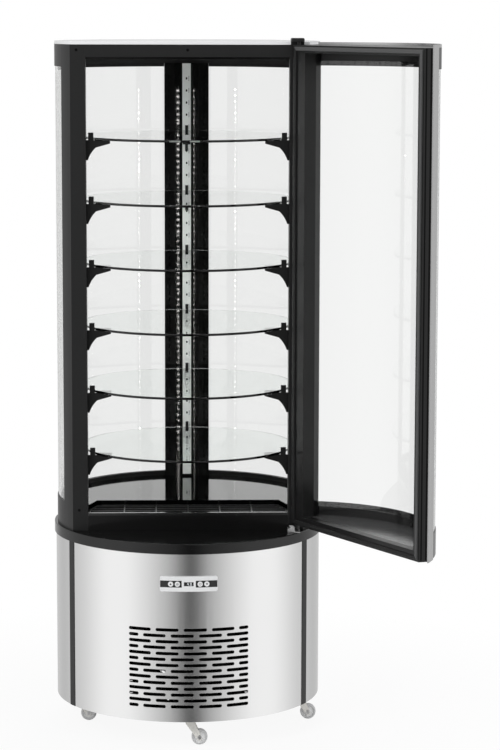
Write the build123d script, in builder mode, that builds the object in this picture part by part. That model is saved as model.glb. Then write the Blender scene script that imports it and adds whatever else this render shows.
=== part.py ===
# Round refrigerated display cabinet on casters: a steel drum base with the cooling machinery,
# a glazed tower with six round glass shelves, and a bow-fronted glass door standing open.
# Millimetres, +Z up, the front faces -Y. The origin is on the floor at the axis of the drum.
from math import acos, asin, cos, degrees, radians, sin, sqrt
import os

from build123d import *

# ---- overall -------------------------------------------------------------------------------
base_radius = 340.0          # outside of the steel skin
base_bottom = 70.0           # underside of the base pan
base_top = 496.5             # top edge of the steel skin
deck_rise = 26.0             # from the skin's top edge to the top of the black deck
tower_radius = 336.0         # outside of the black tower frame
tower_top = 1742.0           # top of the tower frame
front_half_angle = 60.0      # half of the arc that the flat front of the tower cuts off
fit_gap = 0.3                # clearance between parts that only pass each other

# ---- base ----------------------------------------------------------------------------------
skin = 1.5                   # steel sheet
pan_thickness = 3.0
pan_rim_height = 15.0
pan_slot = (70.0, 12.0)
pan_slot_circle = 150.0
pan_slot_count = 8
strip_width = 24.0           # black strips that cover the joints of the skin
strip_proud = 1.0
strip_depth = 30.0
strip_web = 18.0
strip_angles = (-150.0, -30.0, 90.0)
deck_thickness = 5.0
deck_edge_round = 2.0
rim_proud = 4.0              # the deck rim stands out past the skin
rim_wall = 6.0
return_slot = (86.0, 60.0)   # return-air openings in a row under the grille
return_slot_pitch = 96.0
return_slot_setback = 73.0   # from the flat front
supply_opening = (150.0, 70.0)
supply_setback = 135.0       # from the front of the rear post

vent_rows = 14
vent_columns = 5
vent_top_drop = 191.9        # from the top of the skin to the top row
vent_bottom_rise = 39.3      # from the bottom of the skin to the lowest row
vent_slot = 58.0
vent_slot_height = 8.2
vent_gap = 12.5
vent_half_slot = 25.5

inlet_angle = 68.0           # the power inlet, round the drum axis
inlet_z = 130.0
inlet_size = (30.0, 24.0)    # body of the inlet, across and up
inlet_depth = 22.0
inlet_flange = (48.0, 32.0, 3.0)
inlet_wall = 2.5
inlet_socket_depth = 20.0
inlet_pin = (2.0, 5.0, 12.0)
inlet_pin_spots = ((-7.0, -2.0), (0.0, 3.0), (7.0, -2.0))

# ---- controller ----------------------------------------------------------------------------
bezel_width = 143.0
bezel_height = 38.0
bezel_drop = 74.5            # from the top of the skin
bezel_thickness = 4.0
bezel_corner = 4.0
strip_inset = 1.2            # depth of the pockets for the dark fascia strips
fascia_inner_x = 17.5
fascia_outer_x = 67.0
fascia_height = 17.0
display_width = 24.0
display_height = 9.8
button_diameter = 13.0
button_positions = (-44.8, -28.2, 28.2, 44.8)
button_travel = 1.0
button_proud = 1.5
button_length = 9.0
housing_width = 112.0
housing_height = 28.0
housing_depth = 38.0
housing_wall = 2.5
housing_front_wall = 8.0
button_edge = 0.8

# ---- cooling machinery ---------------------------------------------------------------------
condenser_width = 280.0
condenser_height = 230.0
condenser_depth = 38.0
condenser_setback = 48.0     # from the outside of the skin
fin_pitch = 9.0
fin_thickness = 1.0
coil_tube = 9.5
fan_radius = 100.0
fan_hub_radius = 24.0
fan_hub_length = 22.0
fan_blades = 5
fan_blade_tilt = 32.0
fan_blade_thickness = 1.6
fan_blade_root = 4.0         # how deep a blade stands in its hub
shaft_diameter = 8.0
shaft_clearance = 0.06
motor_radius = 31.0
fan_to_motor = 6.0
shroud_wall = 2.0
shroud_depth = 28.0
shroud_to_fan = 20.0
shroud_opening = 105.0
fan_arm = (12.0, 6.0, 4.0)    # width, foot and thickness of the motor arms
motor_length = 52.0
compressor_radius = 74.0
compressor_height = 172.0
compressor_x = 95.0
compressor_y = 60.0
compressor_foot = 10.0
compressor_foot_radius = 11.0
compressor_plate = (170.0, 110.0, 3.0)
compressor_seam = (3.0, 6.0)
evaporator_width = 330.0
evaporator_margin = (55.0, 85.0)   # before the return slots and behind the supply opening
evaporator_height = 130.0
evaporator_corner = 12.0
evaporator_motor = (20.0, 24.0)
spider_bar = (10.0, 3.0)
insulation = 22.0
evaporator_fan_radius = 58.0
evaporator_hub_radius = 18.0
evaporator_hub_length = 16.0
evaporator_fan_drop = 22.0
spider_gap = 4.0
evaporator_coil_size = (90.0, 70.0)
evaporator_tube_pitch = (30.0, 24.0)

# ---- casters -------------------------------------------------------------------------------
wheel_diameter = 40.0
wheel_width = 17.0
wheel_tread_round = 3.0
axle_diameter = 6.0
axle_clearance = 0.06
caster_trail = 27.0
caster_setback = 50.0
caster_angles = (-90.0, -169.0, -11.0, 90.0)
caster_names = ("front", "left", "right", "rear")
caster_plate = 40.0
caster_plate_thickness = 2.5
caster_plate_corner = 4.0
race_radius = 15.0
race_height = 2.5
fork_thickness = 2.5
fork_gap = 18.0
king_pin_diameter = 8.0
king_pin_tail = 4.0          # below the top of the fork
caster_screw_pitch = 29.0
caster_screw_radius = 2.6
fork_back = 8.0              # fork side plates: behind and before the king pin
fork_front = 15.0
fork_toe = 7.0

# ---- tower frame ---------------------------------------------------------------------------
post_setback = 83.0          # from the radius to the inner faces of the front posts
post_flank_angle = 20.6      # the post flanks end at this angle behind the X axis
post_wall = 2.5
base_ring_height = 67.5
top_ring_height = 55.0
ring_width = 14.0
ring_ledge = 10.0
ring_ledge_thickness = 4.0
ring_ledge_inset = 3.0       # degrees from the ends of the ring
glass_setback = 2.0          # from the frame to the outside of the curved panes
glass_thickness = 6.0
glass_insert = 12.0          # how deep the panes stand in their grooves
sill_height = 38.5
sill_depth = 33.0
threshold_height = 6.5
threshold_depth = 13.0
floor_rise = 55.5            # from the deck to the floor of the display
floor_thickness = 3.0
grille_reach = 118.0         # from the flat front
grille_height = 5.0
grille_bar = 3.0
grille_frame_bar = 6.0
grille_corner = (20.0, 62.0)
grille_bar_setbacks = (40.0, 67.0, 94.0)
grille_divider_pitch = 81.0
grille_support = 10.0
grille_side_reach = 56.0
header_height = 30.2
header_depth = 28.0
top_panel_thickness = 8.0
ceiling_drop = 36.0          # from the top of the frame to the ceiling of the display
rear_post_half_width = 59.0
rear_post_depth = 31.0
rear_post_wall = 3.0
rear_crown = 18.0            # half width of the raised crown that carries the shelf rail
rear_foot = 32.0             # half width at the foot of its sloping sides
rear_step = 4.0
outlet_slot = (3.5, 9.0)     # cold-air outlets in the flat sides
outlet_x = 46.0
outlet_pitch = 18.0
rail_width = 22.5
rail_thickness = 5.0
rail_slot = (4.0, 6.0)
rail_slot_pitch = 32.0
rail_rise = 6.0             # from the floor of the display
led_depth = 8.0
led_width = 12.0
led_inset = 24.0             # from the inner faces of the front posts
led_bottom_gap = 10.0        # over the base ring
led_top_gap = 81.0           # under the top ring
screw_inset = 22.0
screw_head = 7.0
screw_head_height = 0.3
screw_top_drop = 13.0
screw_bottom_rise = 52.5

# ---- shelves -------------------------------------------------------------------------------
shelf_count = 6
shelf_setback = 66.0         # from the radius of the tower
shelf_thickness = 6.0
shelf_edge = 1.0
lowest_shelf_rise = 195.5    # from the deck
highest_shelf_drop = 230.0   # from the top of the frame
bracket_setback = 25.0       # from the flat front to the front brackets
bracket_thickness = 8.0
bracket_reach = 60.0         # from the post to the tip
bracket_tip_depth = 8.5
bracket_root_depth = 50.0
bracket_toe = 4.5
bracket_hollow = (11.8, 34.0)   # middle of the hollow curve under the arm
bracket_knee = (24.5, 18.5)     # where the curve meets the arm
peg_width = 13.0
peg_height = 18.5
peg_play = 3.0               # between the rim of a shelf and the pegs
rear_bracket_reach = 72.0
rear_bracket_plate = (21.0, 33.0)   # width and height of the plate that lies on the rail
rear_bracket_plate_thickness = 3.0

# ---- door ----------------------------------------------------------------------------------
door_angle = 120.5           # how far the door stands open
hinge_setback = 62.0         # from the radius of the tower
hinge_reach = 15.0           # from the flat front
pin_diameter = 8.0
pin_clearance = 0.08
pin_reach = 28.0
door_gap = 4.0               # between the door frame and the tower posts, filled by the gasket
door_frame_depth = 22.0
door_rise = 18.5             # from the deck to the underside of the door
hinge_edge_reach = 9.0       # from the pin to the edge of the hinge stile
hinge_stile_width = 53.0
hinge_stile_depth = 33.0
latch_stile_width = 22.0
latch_edge_setback = 70.0    # from the radius of the tower
latch_stile_return = 6.0     # how far its inner face reaches past the back of the rails
top_rail_height = 19.0
bottom_rail_height = 25.0
door_lower_band = 59.0       # heights of the curved bands
door_upper_band = 50.0
cap_plate = 4.0
cap_wall = 3.0
cap_setback = 1.0            # the lower cap ends this far under the bottom rail
stile_tongue = 9.2           # how far the hinge stile reaches over the pane
edge_strip_start = 215.2     # angles round the drum axis, door shut
edge_strip_sweep = 7.5
edge_strip_thickness = 3.0
edge_strip_drop = 3.0        # past the underside of the door
top_rim_height = 7.5
top_rim_end = -42.0
gasket_width = 10.0
gasket_thickness = 3.6
gasket_side_insets = (8.5, 4.0)   # at the hinge side and at the free side
gasket_corner = 3.0
gasket_inset = 4.0
hinge_plate_thickness = 3.0
hinge_block = (17.0, 20.0, 11.0)
hinge_block_reach = (15.0, 14.0)   # from the pin, towards the middle and the front
hinge_plate_tail = 12.0
hinge_boss_wall = 3.0
hinge_cap = (33.0, 46.0, 9.0)
hinge_cap_offset = (-2.5, 15.0)  # centre of the cap from the pin
hinge_cap_corner = 5.0
hinge_cap_chamfer = 2.0

# ---- derived -------------------------------------------------------------------------------
full_turn = 360.0
half_turn = 180.0
quarter_turn = 90.0
deck_top = base_top + deck_rise
chord_y = -tower_radius * cos(radians(front_half_angle))
rear_post_front_y = tower_radius - rear_post_depth
return_slot_y = chord_y + return_slot_setback
supply_opening_y = rear_post_front_y - supply_setback
vent_top_z = base_top - vent_top_drop
vent_row_pitch = (vent_top_z - base_bottom - vent_bottom_rise) / (vent_rows - 1)
bezel_z = base_top - bezel_drop
condenser_front = base_radius - condenser_setback
evaporator_front = return_slot_y - evaporator_margin[0]
evaporator_length = supply_opening_y + evaporator_margin[1] - evaporator_front
evaporator_y = evaporator_front + evaporator_length / 2
caster_circle = base_radius - caster_setback
post_inner_x = tower_radius - post_setback
base_ring_top = deck_top + base_ring_height
top_ring_bottom = tower_top - top_ring_height
glass_radius = tower_radius - glass_setback
sill_top = deck_top + sill_height
floor_top = deck_top + floor_rise
grille_rear_y = chord_y + grille_reach
grille_side_y = chord_y + grille_side_reach
header_bottom = tower_top - header_height
ceiling_z = tower_top - ceiling_drop
panel_top = tower_top + top_panel_thickness
outlet_count = int((top_ring_bottom - base_ring_top) / outlet_pitch) - 2
led_x = post_inner_x + led_inset
led_bottom = base_ring_top + led_bottom_gap
led_top = top_ring_bottom - led_top_gap
screw_x = post_inner_x + screw_inset
screw_top = tower_top - screw_top_drop
screw_bottom = deck_top + screw_bottom_rise
shelf_radius = tower_radius - shelf_setback
lowest_shelf_top = deck_top + lowest_shelf_rise
shelf_pitch = (tower_top - highest_shelf_drop - lowest_shelf_top) / (shelf_count - 1)
bracket_y = chord_y + bracket_setback
hinge_x = tower_radius - hinge_setback
hinge_y = chord_y - hinge_reach
door_bottom = deck_top + door_rise
door_hinge_edge = hinge_x + hinge_edge_reach
hinge_stile_inner = door_hinge_edge - hinge_stile_width
door_latch_edge = latch_edge_setback - tower_radius
latch_stile_inner = door_latch_edge + latch_stile_width
hinge_stile_middle = (hinge_stile_inner + door_hinge_edge) / 2
latch_stile_middle = (latch_stile_inner + door_latch_edge) / 2
door_band_bottom = door_bottom + door_lower_band
door_band_top = tower_top - door_upper_band
edge_strip_bottom = door_bottom - edge_strip_drop
gasket_hinge_x = door_hinge_edge - gasket_side_insets[0]
gasket_latch_x = door_latch_edge + gasket_side_insets[1]
hinge_block_x = hinge_x - hinge_block_reach[0]
hinge_block_y = hinge_y - hinge_block_reach[1]
cap_left = hinge_x + hinge_cap_offset[0] - hinge_cap[0] / 2
cap_back = hinge_y + hinge_cap_offset[1] + hinge_cap[1] / 2
skin_inner = base_radius - skin
deck_underside = deck_top - deck_thickness
rim_radius = base_radius + rim_proud
pan_top = base_bottom + pan_thickness
strip_half_angle = degrees(strip_width / 2 / base_radius)
glass_inner = glass_radius - glass_thickness
ring_inner = tower_radius - ring_width
door_face_y = chord_y - door_gap
frame_back_y = door_face_y - door_frame_depth
door_cos = cos(radians(door_angle))
door_sin = sin(radians(door_angle))
door_axis_x = hinge_x - (hinge_x * door_cos - hinge_y * door_sin)
door_axis_y = hinge_y - (hinge_x * door_sin + hinge_y * door_cos)
shelf_tops = [lowest_shelf_top + shelf_pitch * level for level in range(shelf_count)]

os.makedirs("parts", exist_ok=True)


def save(builder, name):
    builder.part.label = name
    export_step(builder.part, "parts/" + name + ".step")


def ring_sector(outer, inner, start, end):
    """A flat sector of a ring about the drum axis, angles in degrees from +X."""
    with BuildSketch() as sector:
        with BuildLine():
            rim = CenterArc((0, 0), outer, start, end - start)
            hub = CenterArc((0, 0), inner, start, end - start)
            Line(rim @ 0, hub @ 0)
            Line(rim @ 1, hub @ 1)
        make_face()
    return sector.sketch


def door_plan(radius, face_y, left, right):
    """The part of a disc in front of the line y = face_y, between two side lines."""
    with BuildSketch() as plan:
        Circle(radius)
        with Locations(((left + right) / 2, face_y)):
            Rectangle(right - left, radius, align=(Align.CENTER, Align.MAX), mode=Mode.INTERSECT)
    return plan.sketch


def door_level(height):
    """Horizontal sketch plane that turns with the door: drawn on it, the door is shut."""
    return Plane(origin=(door_axis_x, door_axis_y, height), x_dir=(door_cos, door_sin, 0), z_dir=(0, 0, 1))


def drum_tangent(angle, height, radius):
    """Upright plane that touches the drum at an angle, its normal pointing outwards."""
    a = radians(angle)
    return Plane(
        origin=(radius * cos(a), radius * sin(a), height),
        x_dir=(-sin(a), cos(a), 0),
        z_dir=(cos(a), sin(a), 0),
    )


# ---- base pan ------------------------------------------------------------------------------
with BuildPart() as base_pan:
    with BuildSketch(Plane.XY.offset(base_bottom)):
        Circle(skin_inner)
        with PolarLocations(pan_slot_circle, pan_slot_count, start_angle=half_turn / pan_slot_count):
            SlotOverall(*pan_slot, mode=Mode.SUBTRACT)
    extrude(amount=pan_thickness)
    with BuildSketch(Plane.XY.offset(pan_top)):
        Circle(skin_inner)
        Circle(skin_inner - skin, mode=Mode.SUBTRACT)
    extrude(amount=pan_rim_height - pan_thickness)
save(base_pan, "base_pan")

# ---- front skin with the staggered air slots and the controller cut-out ----------------------
vent_step = vent_slot + vent_gap
vent_half_step = vent_half_slot + vent_gap
vent_full = vent_columns - 1
vent_width = vent_full * vent_step + vent_half_slot


def vent_slots(row):
    """Centre along the skin and length of each slot in a row; every other row is shifted."""
    shift = 0 if row % 2 == 0 else vent_half_step
    left = -vent_width / 2
    slots = [(left + shift + vent_slot / 2 + i * vent_step, vent_slot) for i in range(vent_full)]
    if shift:
        slots.append((left + vent_half_slot / 2, vent_half_slot))
    else:
        slots.append((left + vent_full * vent_step + vent_half_slot / 2, vent_half_slot))
    return slots


front_start = strip_angles[0] + strip_half_angle
front_end = strip_angles[1] - strip_half_angle
with BuildPart() as base_front_panel:
    with BuildSketch(Plane.XY.offset(base_bottom)):
        add(ring_sector(base_radius, skin_inner, front_start, front_end))
    extrude(amount=base_top - base_bottom)
    for row in range(vent_rows):
        height = vent_top_z - row * vent_row_pitch
        for centre, length in vent_slots(row):
            with BuildSketch(drum_tangent(-90 + degrees(centre / base_radius), height, base_radius)):
                SlotOverall(length, vent_slot_height)
    extrude(amount=4 * skin, both=True, mode=Mode.SUBTRACT)
    with BuildSketch(drum_tangent(-90, bezel_z, base_radius)):
        Rectangle(housing_width + 2 * fit_gap, housing_height + 2 * fit_gap)
    extrude(amount=-bezel_height / 2, mode=Mode.SUBTRACT)
save(base_front_panel, "base_front_panel")

# ---- side skins; the power inlet sits low in the right one, near the back --------------------
with BuildPart() as base_side_panels:
    with BuildSketch(Plane.XY.offset(base_bottom)):
        add(ring_sector(base_radius, skin_inner, strip_angles[1] + strip_half_angle,
                        strip_angles[2] - strip_half_angle))
        add(ring_sector(base_radius, skin_inner, strip_angles[2] + strip_half_angle,
                        full_turn + strip_angles[0] - strip_half_angle))
    extrude(amount=base_top - base_bottom)
    with BuildSketch(drum_tangent(inlet_angle, inlet_z, base_radius)):
        Rectangle(*inlet_size)
    extrude(amount=4 * skin, both=True, mode=Mode.SUBTRACT)
save(base_side_panels, "base_side_panels")

with BuildPart() as power_inlet:
    with BuildSketch(drum_tangent(inlet_angle, inlet_z, base_radius)):
        RectangleRounded(inlet_flange[0], inlet_flange[1], 2 * inlet_wall)
    extrude(amount=inlet_flange[2])
    with BuildSketch(drum_tangent(inlet_angle, inlet_z, base_radius)):
        Rectangle(inlet_size[0] - 2 * fit_gap, inlet_size[1] - 2 * fit_gap)
    extrude(amount=-inlet_depth)
    socket_floor = base_radius + inlet_flange[2] - inlet_socket_depth
    with BuildSketch(drum_tangent(inlet_angle, inlet_z, socket_floor)):
        RectangleRounded(inlet_size[0] - 2 * inlet_wall, inlet_size[1] - 2 * inlet_wall, inlet_wall)
    extrude(amount=inlet_socket_depth, mode=Mode.SUBTRACT)
    with BuildSketch(drum_tangent(inlet_angle, inlet_z, socket_floor)):
        with Locations(*inlet_pin_spots):
            Rectangle(inlet_pin[0], inlet_pin[1])
    extrude(amount=inlet_pin[2])
save(power_inlet, "power_inlet")

# ---- upright joint strips: a black face over the joint and a web behind it -------------------
with BuildPart() as joint_strips:
    with BuildSketch(Plane.XY.offset(base_bottom)):
        for angle in strip_angles:
            add(ring_sector(base_radius + strip_proud, skin_inner,
                            angle - strip_half_angle, angle + strip_half_angle))
    extrude(amount=base_top - base_bottom)
    pan_rim_top = base_bottom + pan_rim_height
    web_half = degrees(strip_web / 2 / base_radius)
    with BuildSketch(Plane.XY.offset(pan_rim_top)):
        for angle in strip_angles:
            add(ring_sector(skin_inner, skin_inner - strip_depth, angle - web_half, angle + web_half))
    extrude(amount=base_top - pan_rim_top)
save(joint_strips, "joint_strips")

# ---- deck: the black table that closes the base and carries the tower ------------------------
with BuildPart() as deck:
    with BuildSketch(Plane.XY.offset(deck_underside)):
        Circle(rim_radius)
        with Locations((0, return_slot_y)):
            with GridLocations(return_slot_pitch, 1, 3, 1):
                Rectangle(*return_slot, mode=Mode.SUBTRACT)
        with Locations((0, supply_opening_y)):
            Rectangle(*supply_opening, mode=Mode.SUBTRACT)
    extrude(amount=deck_thickness)
    with BuildSketch(Plane.XY.offset(base_top)):
        Circle(rim_radius)
        Circle(rim_radius - rim_wall, mode=Mode.SUBTRACT)
    extrude(amount=deck_underside - base_top)
    fillet(deck.edges().filter_by(GeomType.CIRCLE).group_by(Axis.Z)[-1], radius=deck_edge_round)
save(deck, "deck")

# ---- controller: bezel with its housing, dark fascia strips and display, four buttons --------


def along_skin(x, radius=base_radius + bezel_thickness):
    return -90 + degrees(asin(x / radius))


bezel_outer = base_radius + bezel_thickness
housing_back = skin_inner - housing_depth
with BuildPart() as controller_bezel:
    with BuildSketch(Plane.XY.offset(bezel_z - bezel_height / 2)):
        bezel_end = along_skin(bezel_width / 2)
        add(ring_sector(bezel_outer, base_radius, -half_turn - bezel_end, bezel_end))
    extrude(amount=bezel_height)
    ends = bezel_width / 2 - bezel_corner
    corners = controller_bezel.edges().filter_by(lambda e: abs(e.center().X) > ends and e.length < rim_wall)
    fillet(corners.filter_by(lambda e: abs((e @ 0).Z - (e @ 1).Z) < fit_gap), radius=bezel_corner)
    housing_plane = Plane.XZ.offset(housing_back)
    with BuildSketch(housing_plane):
        with Locations((0, bezel_z)):
            Rectangle(housing_width, housing_height)
    extrude(until=Until.NEXT)
    with BuildSketch(Plane.XZ.offset(housing_back + housing_wall)):
        with Locations((0, bezel_z)):
            Rectangle(housing_width - 2 * housing_wall, housing_height - 2 * housing_wall)
    extrude(amount=housing_depth - housing_wall - housing_front_wall, mode=Mode.SUBTRACT)
    pocket = bezel_outer - strip_inset
    with BuildSketch(Plane.XY.offset(bezel_z - fascia_height / 2)):
        add(ring_sector(bezel_outer + 1, pocket, along_skin(-fascia_outer_x), along_skin(-fascia_inner_x)))
        add(ring_sector(bezel_outer + 1, pocket, along_skin(fascia_inner_x), along_skin(fascia_outer_x)))
    extrude(amount=fascia_height, mode=Mode.SUBTRACT)
    with BuildSketch(Plane.XY.offset(bezel_z - display_height / 2)):
        display_end = along_skin(display_width / 2)
        add(ring_sector(bezel_outer + 1, pocket, -half_turn - display_end, display_end))
    extrude(amount=display_height, mode=Mode.SUBTRACT)
    for x in button_positions:
        with BuildSketch(drum_tangent(along_skin(x), bezel_z, bezel_outer + button_proud - button_length
                                      - button_travel - fit_gap)):
            Circle(button_diameter / 2 + fit_gap)
    extrude(amount=button_length + button_travel + fit_gap, mode=Mode.SUBTRACT)
save(controller_bezel, "controller_bezel")

with BuildPart() as controller_fascia:
    for x0, x1, height in ((-fascia_outer_x, -fascia_inner_x, fascia_height),
                           (fascia_inner_x, fascia_outer_x, fascia_height),
                           (-display_width / 2, display_width / 2, display_height)):
        with BuildSketch(Plane.XY.offset(bezel_z - height / 2)):
            add(ring_sector(bezel_outer - fit_gap, pocket, along_skin(x0), along_skin(x1)))
        extrude(amount=height)
    for x in button_positions:
        with BuildSketch(drum_tangent(along_skin(x), bezel_z, bezel_outer)):
            Circle(button_diameter / 2 + fit_gap)
    extrude(amount=bezel_thickness, both=True, mode=Mode.SUBTRACT)
save(controller_fascia, "controller_fascia")

for number, x in enumerate(button_positions, start=1):
    with BuildPart() as button:
        with BuildSketch(drum_tangent(along_skin(x), bezel_z, bezel_outer + button_proud - button_length)):
            Circle(button_diameter / 2)
        extrude(amount=button_length)
        rims = button.edges().filter_by(GeomType.CIRCLE)
        fillet(rims.sort_by_distance((0, 0, bezel_z))[-1], radius=button_edge)
    save(button, "button_" + str(number))

# ---- compressor: welded pot on a foot plate with rubber feet ---------------------------------
with BuildPart() as compressor:
    pot_bottom = pan_top + compressor_foot + compressor_plate[2]
    with BuildSketch(Plane.XY.offset(pot_bottom)):
        with Locations((compressor_x, compressor_y)):
            Circle(compressor_radius)
    extrude(amount=compressor_height)
    pot_rims = compressor.edges().filter_by(GeomType.CIRCLE)
    fillet(pot_rims, radius=compressor_radius * 0.45)
    with BuildSketch(Plane.XY.offset(pot_bottom + compressor_height * 0.45)):
        with Locations((compressor_x, compressor_y)):
            Circle(compressor_radius + compressor_seam[0])
    extrude(amount=compressor_seam[1])
    with BuildSketch(Plane.XY.offset(pan_top + compressor_foot)):
        with Locations((compressor_x, compressor_y)):
            RectangleRounded(compressor_plate[0], compressor_plate[1], compressor_foot_radius)
    extrude(amount=compressor_plate[2] + compressor_foot)
    with BuildSketch(Plane.XY.offset(pan_top)):
        with Locations((compressor_x, compressor_y)):
            foot_pitch = [length - 3 * compressor_foot for length in compressor_plate[:2]]
            with GridLocations(*foot_pitch, 2, 2):
                Circle(compressor_foot_radius)
    extrude(amount=compressor_foot)
save(compressor, "compressor")

# ---- condenser: finned block between two end plates ------------------------------------------
condenser_rear = condenser_front - condenser_depth
condenser_mid_y = -(condenser_front + condenser_rear) / 2
tube_rows = 8
tube_pitch = condenser_height / tube_rows
fin_count = int((condenser_width - fin_pitch) / fin_pitch)
with BuildPart() as condenser:
    with BuildSketch(Plane.XY.offset(pan_top)):
        with Locations((0, condenser_mid_y)):
            with GridLocations(condenser_width - fin_thickness, 1, 2, 1):
                Rectangle(2 * fin_thickness, condenser_depth)
            with GridLocations(fin_pitch, 1, fin_count, 1):
                Rectangle(fin_thickness, condenser_depth)
    extrude(amount=condenser_height)
    with BuildSketch(Plane.YZ.offset(-condenser_width / 2)):
        with Locations((condenser_mid_y, pan_top + condenser_height / 2)):
            with GridLocations(1, tube_pitch, 1, tube_rows):
                Circle(coil_tube / 2)
    extrude(amount=condenser_width)
save(condenser, "condenser")

# ---- fan mount: shroud behind the condenser, with the motor on two arms -----------------------
fan_z = pan_top + condenser_height / 2
shroud_y = -condenser_rear
fan_y = shroud_y + shroud_to_fan
motor_y = fan_y + fan_hub_length / 2 + fan_to_motor
with BuildPart() as condenser_fan_mount:
    with BuildSketch(Plane.XZ.offset(-shroud_y)):
        with Locations((0, fan_z)):
            Rectangle(condenser_width, condenser_height)
            Circle(shroud_opening, mode=Mode.SUBTRACT)
    extrude(amount=-shroud_wall)
    with BuildSketch(Plane.XZ.offset(-shroud_y)):
        with Locations((0, fan_z)):
            Circle(shroud_opening + shroud_wall)
            Circle(shroud_opening, mode=Mode.SUBTRACT)
    extrude(amount=-shroud_depth)
    arm_y = motor_y + motor_length / 5
    arm_half = shroud_opening + shroud_wall + fan_arm[0]
    with BuildSketch(Plane.XZ.offset(-arm_y)):
        with Locations((0, fan_z)):
            Rectangle(2 * arm_half, fan_arm[0])
    extrude(amount=-fan_arm[2])
    with BuildSketch(Plane.XZ.offset(-shroud_y)):
        with Locations((0, fan_z)):
            with GridLocations(2 * arm_half - fan_arm[1], 1, 2, 1):
                Rectangle(fan_arm[1], fan_arm[0])
    extrude(amount=-(arm_y - shroud_y + fan_arm[2]))
    with BuildSketch(Plane.XZ.offset(-motor_y)):
        with Locations((0, fan_z)):
            Circle(motor_radius)
    extrude(amount=-motor_length)
    with BuildSketch(Plane.XZ.offset(-(fan_y - fan_hub_length / 2))):
        with Locations((0, fan_z)):
            Circle(shaft_diameter / 2)
    extrude(amount=-(motor_y - fan_y + fan_hub_length / 2))
save(condenser_fan_mount, "condenser_fan_mount")


def fan_wheel(radius, hub_radius, hub_length, blade_count):
    """A fan wheel about +Z, centred on the origin, with a bore for the shaft."""
    with BuildPart() as wheel:
        with BuildSketch(Plane.XY.offset(-hub_length / 2)):
            Circle(hub_radius)
        extrude(amount=hub_length)
        span = radius - hub_radius + fan_blade_root
        with PolarLocations(0, blade_count):
            with Locations(Location((radius - span / 2, 0, 0), (fan_blade_tilt, 0, 0))):
                Box(span, radius * 0.42, fan_blade_thickness)
        with BuildSketch(Plane.XY.offset(-hub_length / 2)):
            Circle(shaft_diameter / 2 + shaft_clearance)
        extrude(amount=hub_length, mode=Mode.SUBTRACT)
    return wheel.part


with BuildPart() as condenser_fan:
    with Locations(Location((0, fan_y, fan_z), (90, 0, 0))):
        add(fan_wheel(fan_radius, fan_hub_radius, fan_hub_length, fan_blades))
save(condenser_fan, "condenser_fan")

# ---- evaporator: an insulated tub under the deck with its coil, and a fan on a spider ---------
tub_bottom = deck_underside - evaporator_height
tub_inner_w = evaporator_width - 2 * insulation
tub_inner_l = evaporator_length - 2 * insulation
evaporator_fan_z = deck_underside - evaporator_fan_drop
spider_z = evaporator_fan_z - evaporator_hub_length / 2 - spider_gap
with BuildPart() as evaporator_housing:
    with BuildSketch(Plane.XY.offset(tub_bottom)):
        with Locations((0, evaporator_y)):
            RectangleRounded(evaporator_width, evaporator_length, evaporator_corner)
    extrude(amount=evaporator_height)
    with BuildSketch(Plane.XY.offset(tub_bottom + insulation)):
        with Locations((0, evaporator_y)):
            Rectangle(tub_inner_w, tub_inner_l)
    extrude(amount=evaporator_height - insulation, mode=Mode.SUBTRACT)
    with BuildSketch(Plane.XY.offset(spider_z - spider_bar[1])):
        with Locations((0, supply_opening_y)):
            Rectangle(tub_inner_w, spider_bar[0])
    extrude(amount=spider_bar[1])
    with BuildSketch(Plane.XY.offset(spider_z - evaporator_motor[1])):
        with Locations((0, supply_opening_y)):
            Circle(evaporator_motor[0])
    extrude(amount=evaporator_motor[1])
    with BuildSketch(Plane.XY.offset(spider_z)):
        with Locations((0, supply_opening_y)):
            Circle(shaft_diameter / 2)
    extrude(amount=evaporator_fan_z - spider_z + evaporator_hub_length / 2)
save(evaporator_housing, "evaporator_housing")

coil_length, coil_height = evaporator_coil_size
coil_y = evaporator_y - tub_inner_l / 2 + coil_length / 2
coil_fins = int((tub_inner_w - 2 * fin_pitch) / fin_pitch)
with BuildPart() as evaporator_coil:
    with BuildSketch(Plane.XY.offset(tub_bottom + insulation)):
        with Locations((0, coil_y)):
            with GridLocations(fin_pitch, 1, coil_fins, 1):
                Rectangle(fin_thickness, coil_length)
    extrude(amount=coil_height)
    with BuildSketch(Plane.YZ.offset(-tub_inner_w / 2)):
        with Locations((coil_y, tub_bottom + insulation + coil_height / 2)):
            with GridLocations(*evaporator_tube_pitch, 3, 3):
                Circle(coil_tube / 2)
    extrude(amount=tub_inner_w)
save(evaporator_coil, "evaporator_coil")

with BuildPart() as evaporator_fan:
    with Locations((0, supply_opening_y, evaporator_fan_z)):
        add(fan_wheel(evaporator_fan_radius, evaporator_hub_radius, evaporator_hub_length, fan_blades))
save(evaporator_fan, "evaporator_fan")

# ---- casters: plate, race and king pin on the pan; a trailing fork with its axle; a wheel -----
race_z = base_bottom - caster_plate_thickness - race_height
fork_top = race_z - fork_thickness
king_pin_end = fork_top - king_pin_tail
wheel_radius = wheel_diameter / 2
fork_width = fork_gap + 2 * fork_thickness
caster_spots = [(caster_circle * cos(radians(a)), caster_circle * sin(radians(a))) for a in caster_angles]
with BuildPart() as caster_plates:
    with BuildSketch(Plane.XY.offset(base_bottom - caster_plate_thickness)):
        with Locations(*caster_spots):
            RectangleRounded(caster_plate, caster_plate, caster_plate_corner)
            with GridLocations(caster_screw_pitch, caster_screw_pitch, 2, 2):
                Circle(caster_screw_radius, mode=Mode.SUBTRACT)
    extrude(amount=caster_plate_thickness)
    with BuildSketch(Plane.XY.offset(race_z)):
        with Locations(*caster_spots):
            Circle(race_radius)
    extrude(amount=race_height)
    with BuildSketch(Plane.XY.offset(king_pin_end)):
        with Locations(*caster_spots):
            Circle(king_pin_diameter / 2)
    extrude(amount=race_z - king_pin_end)
save(caster_plates, "caster_plates")

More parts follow.
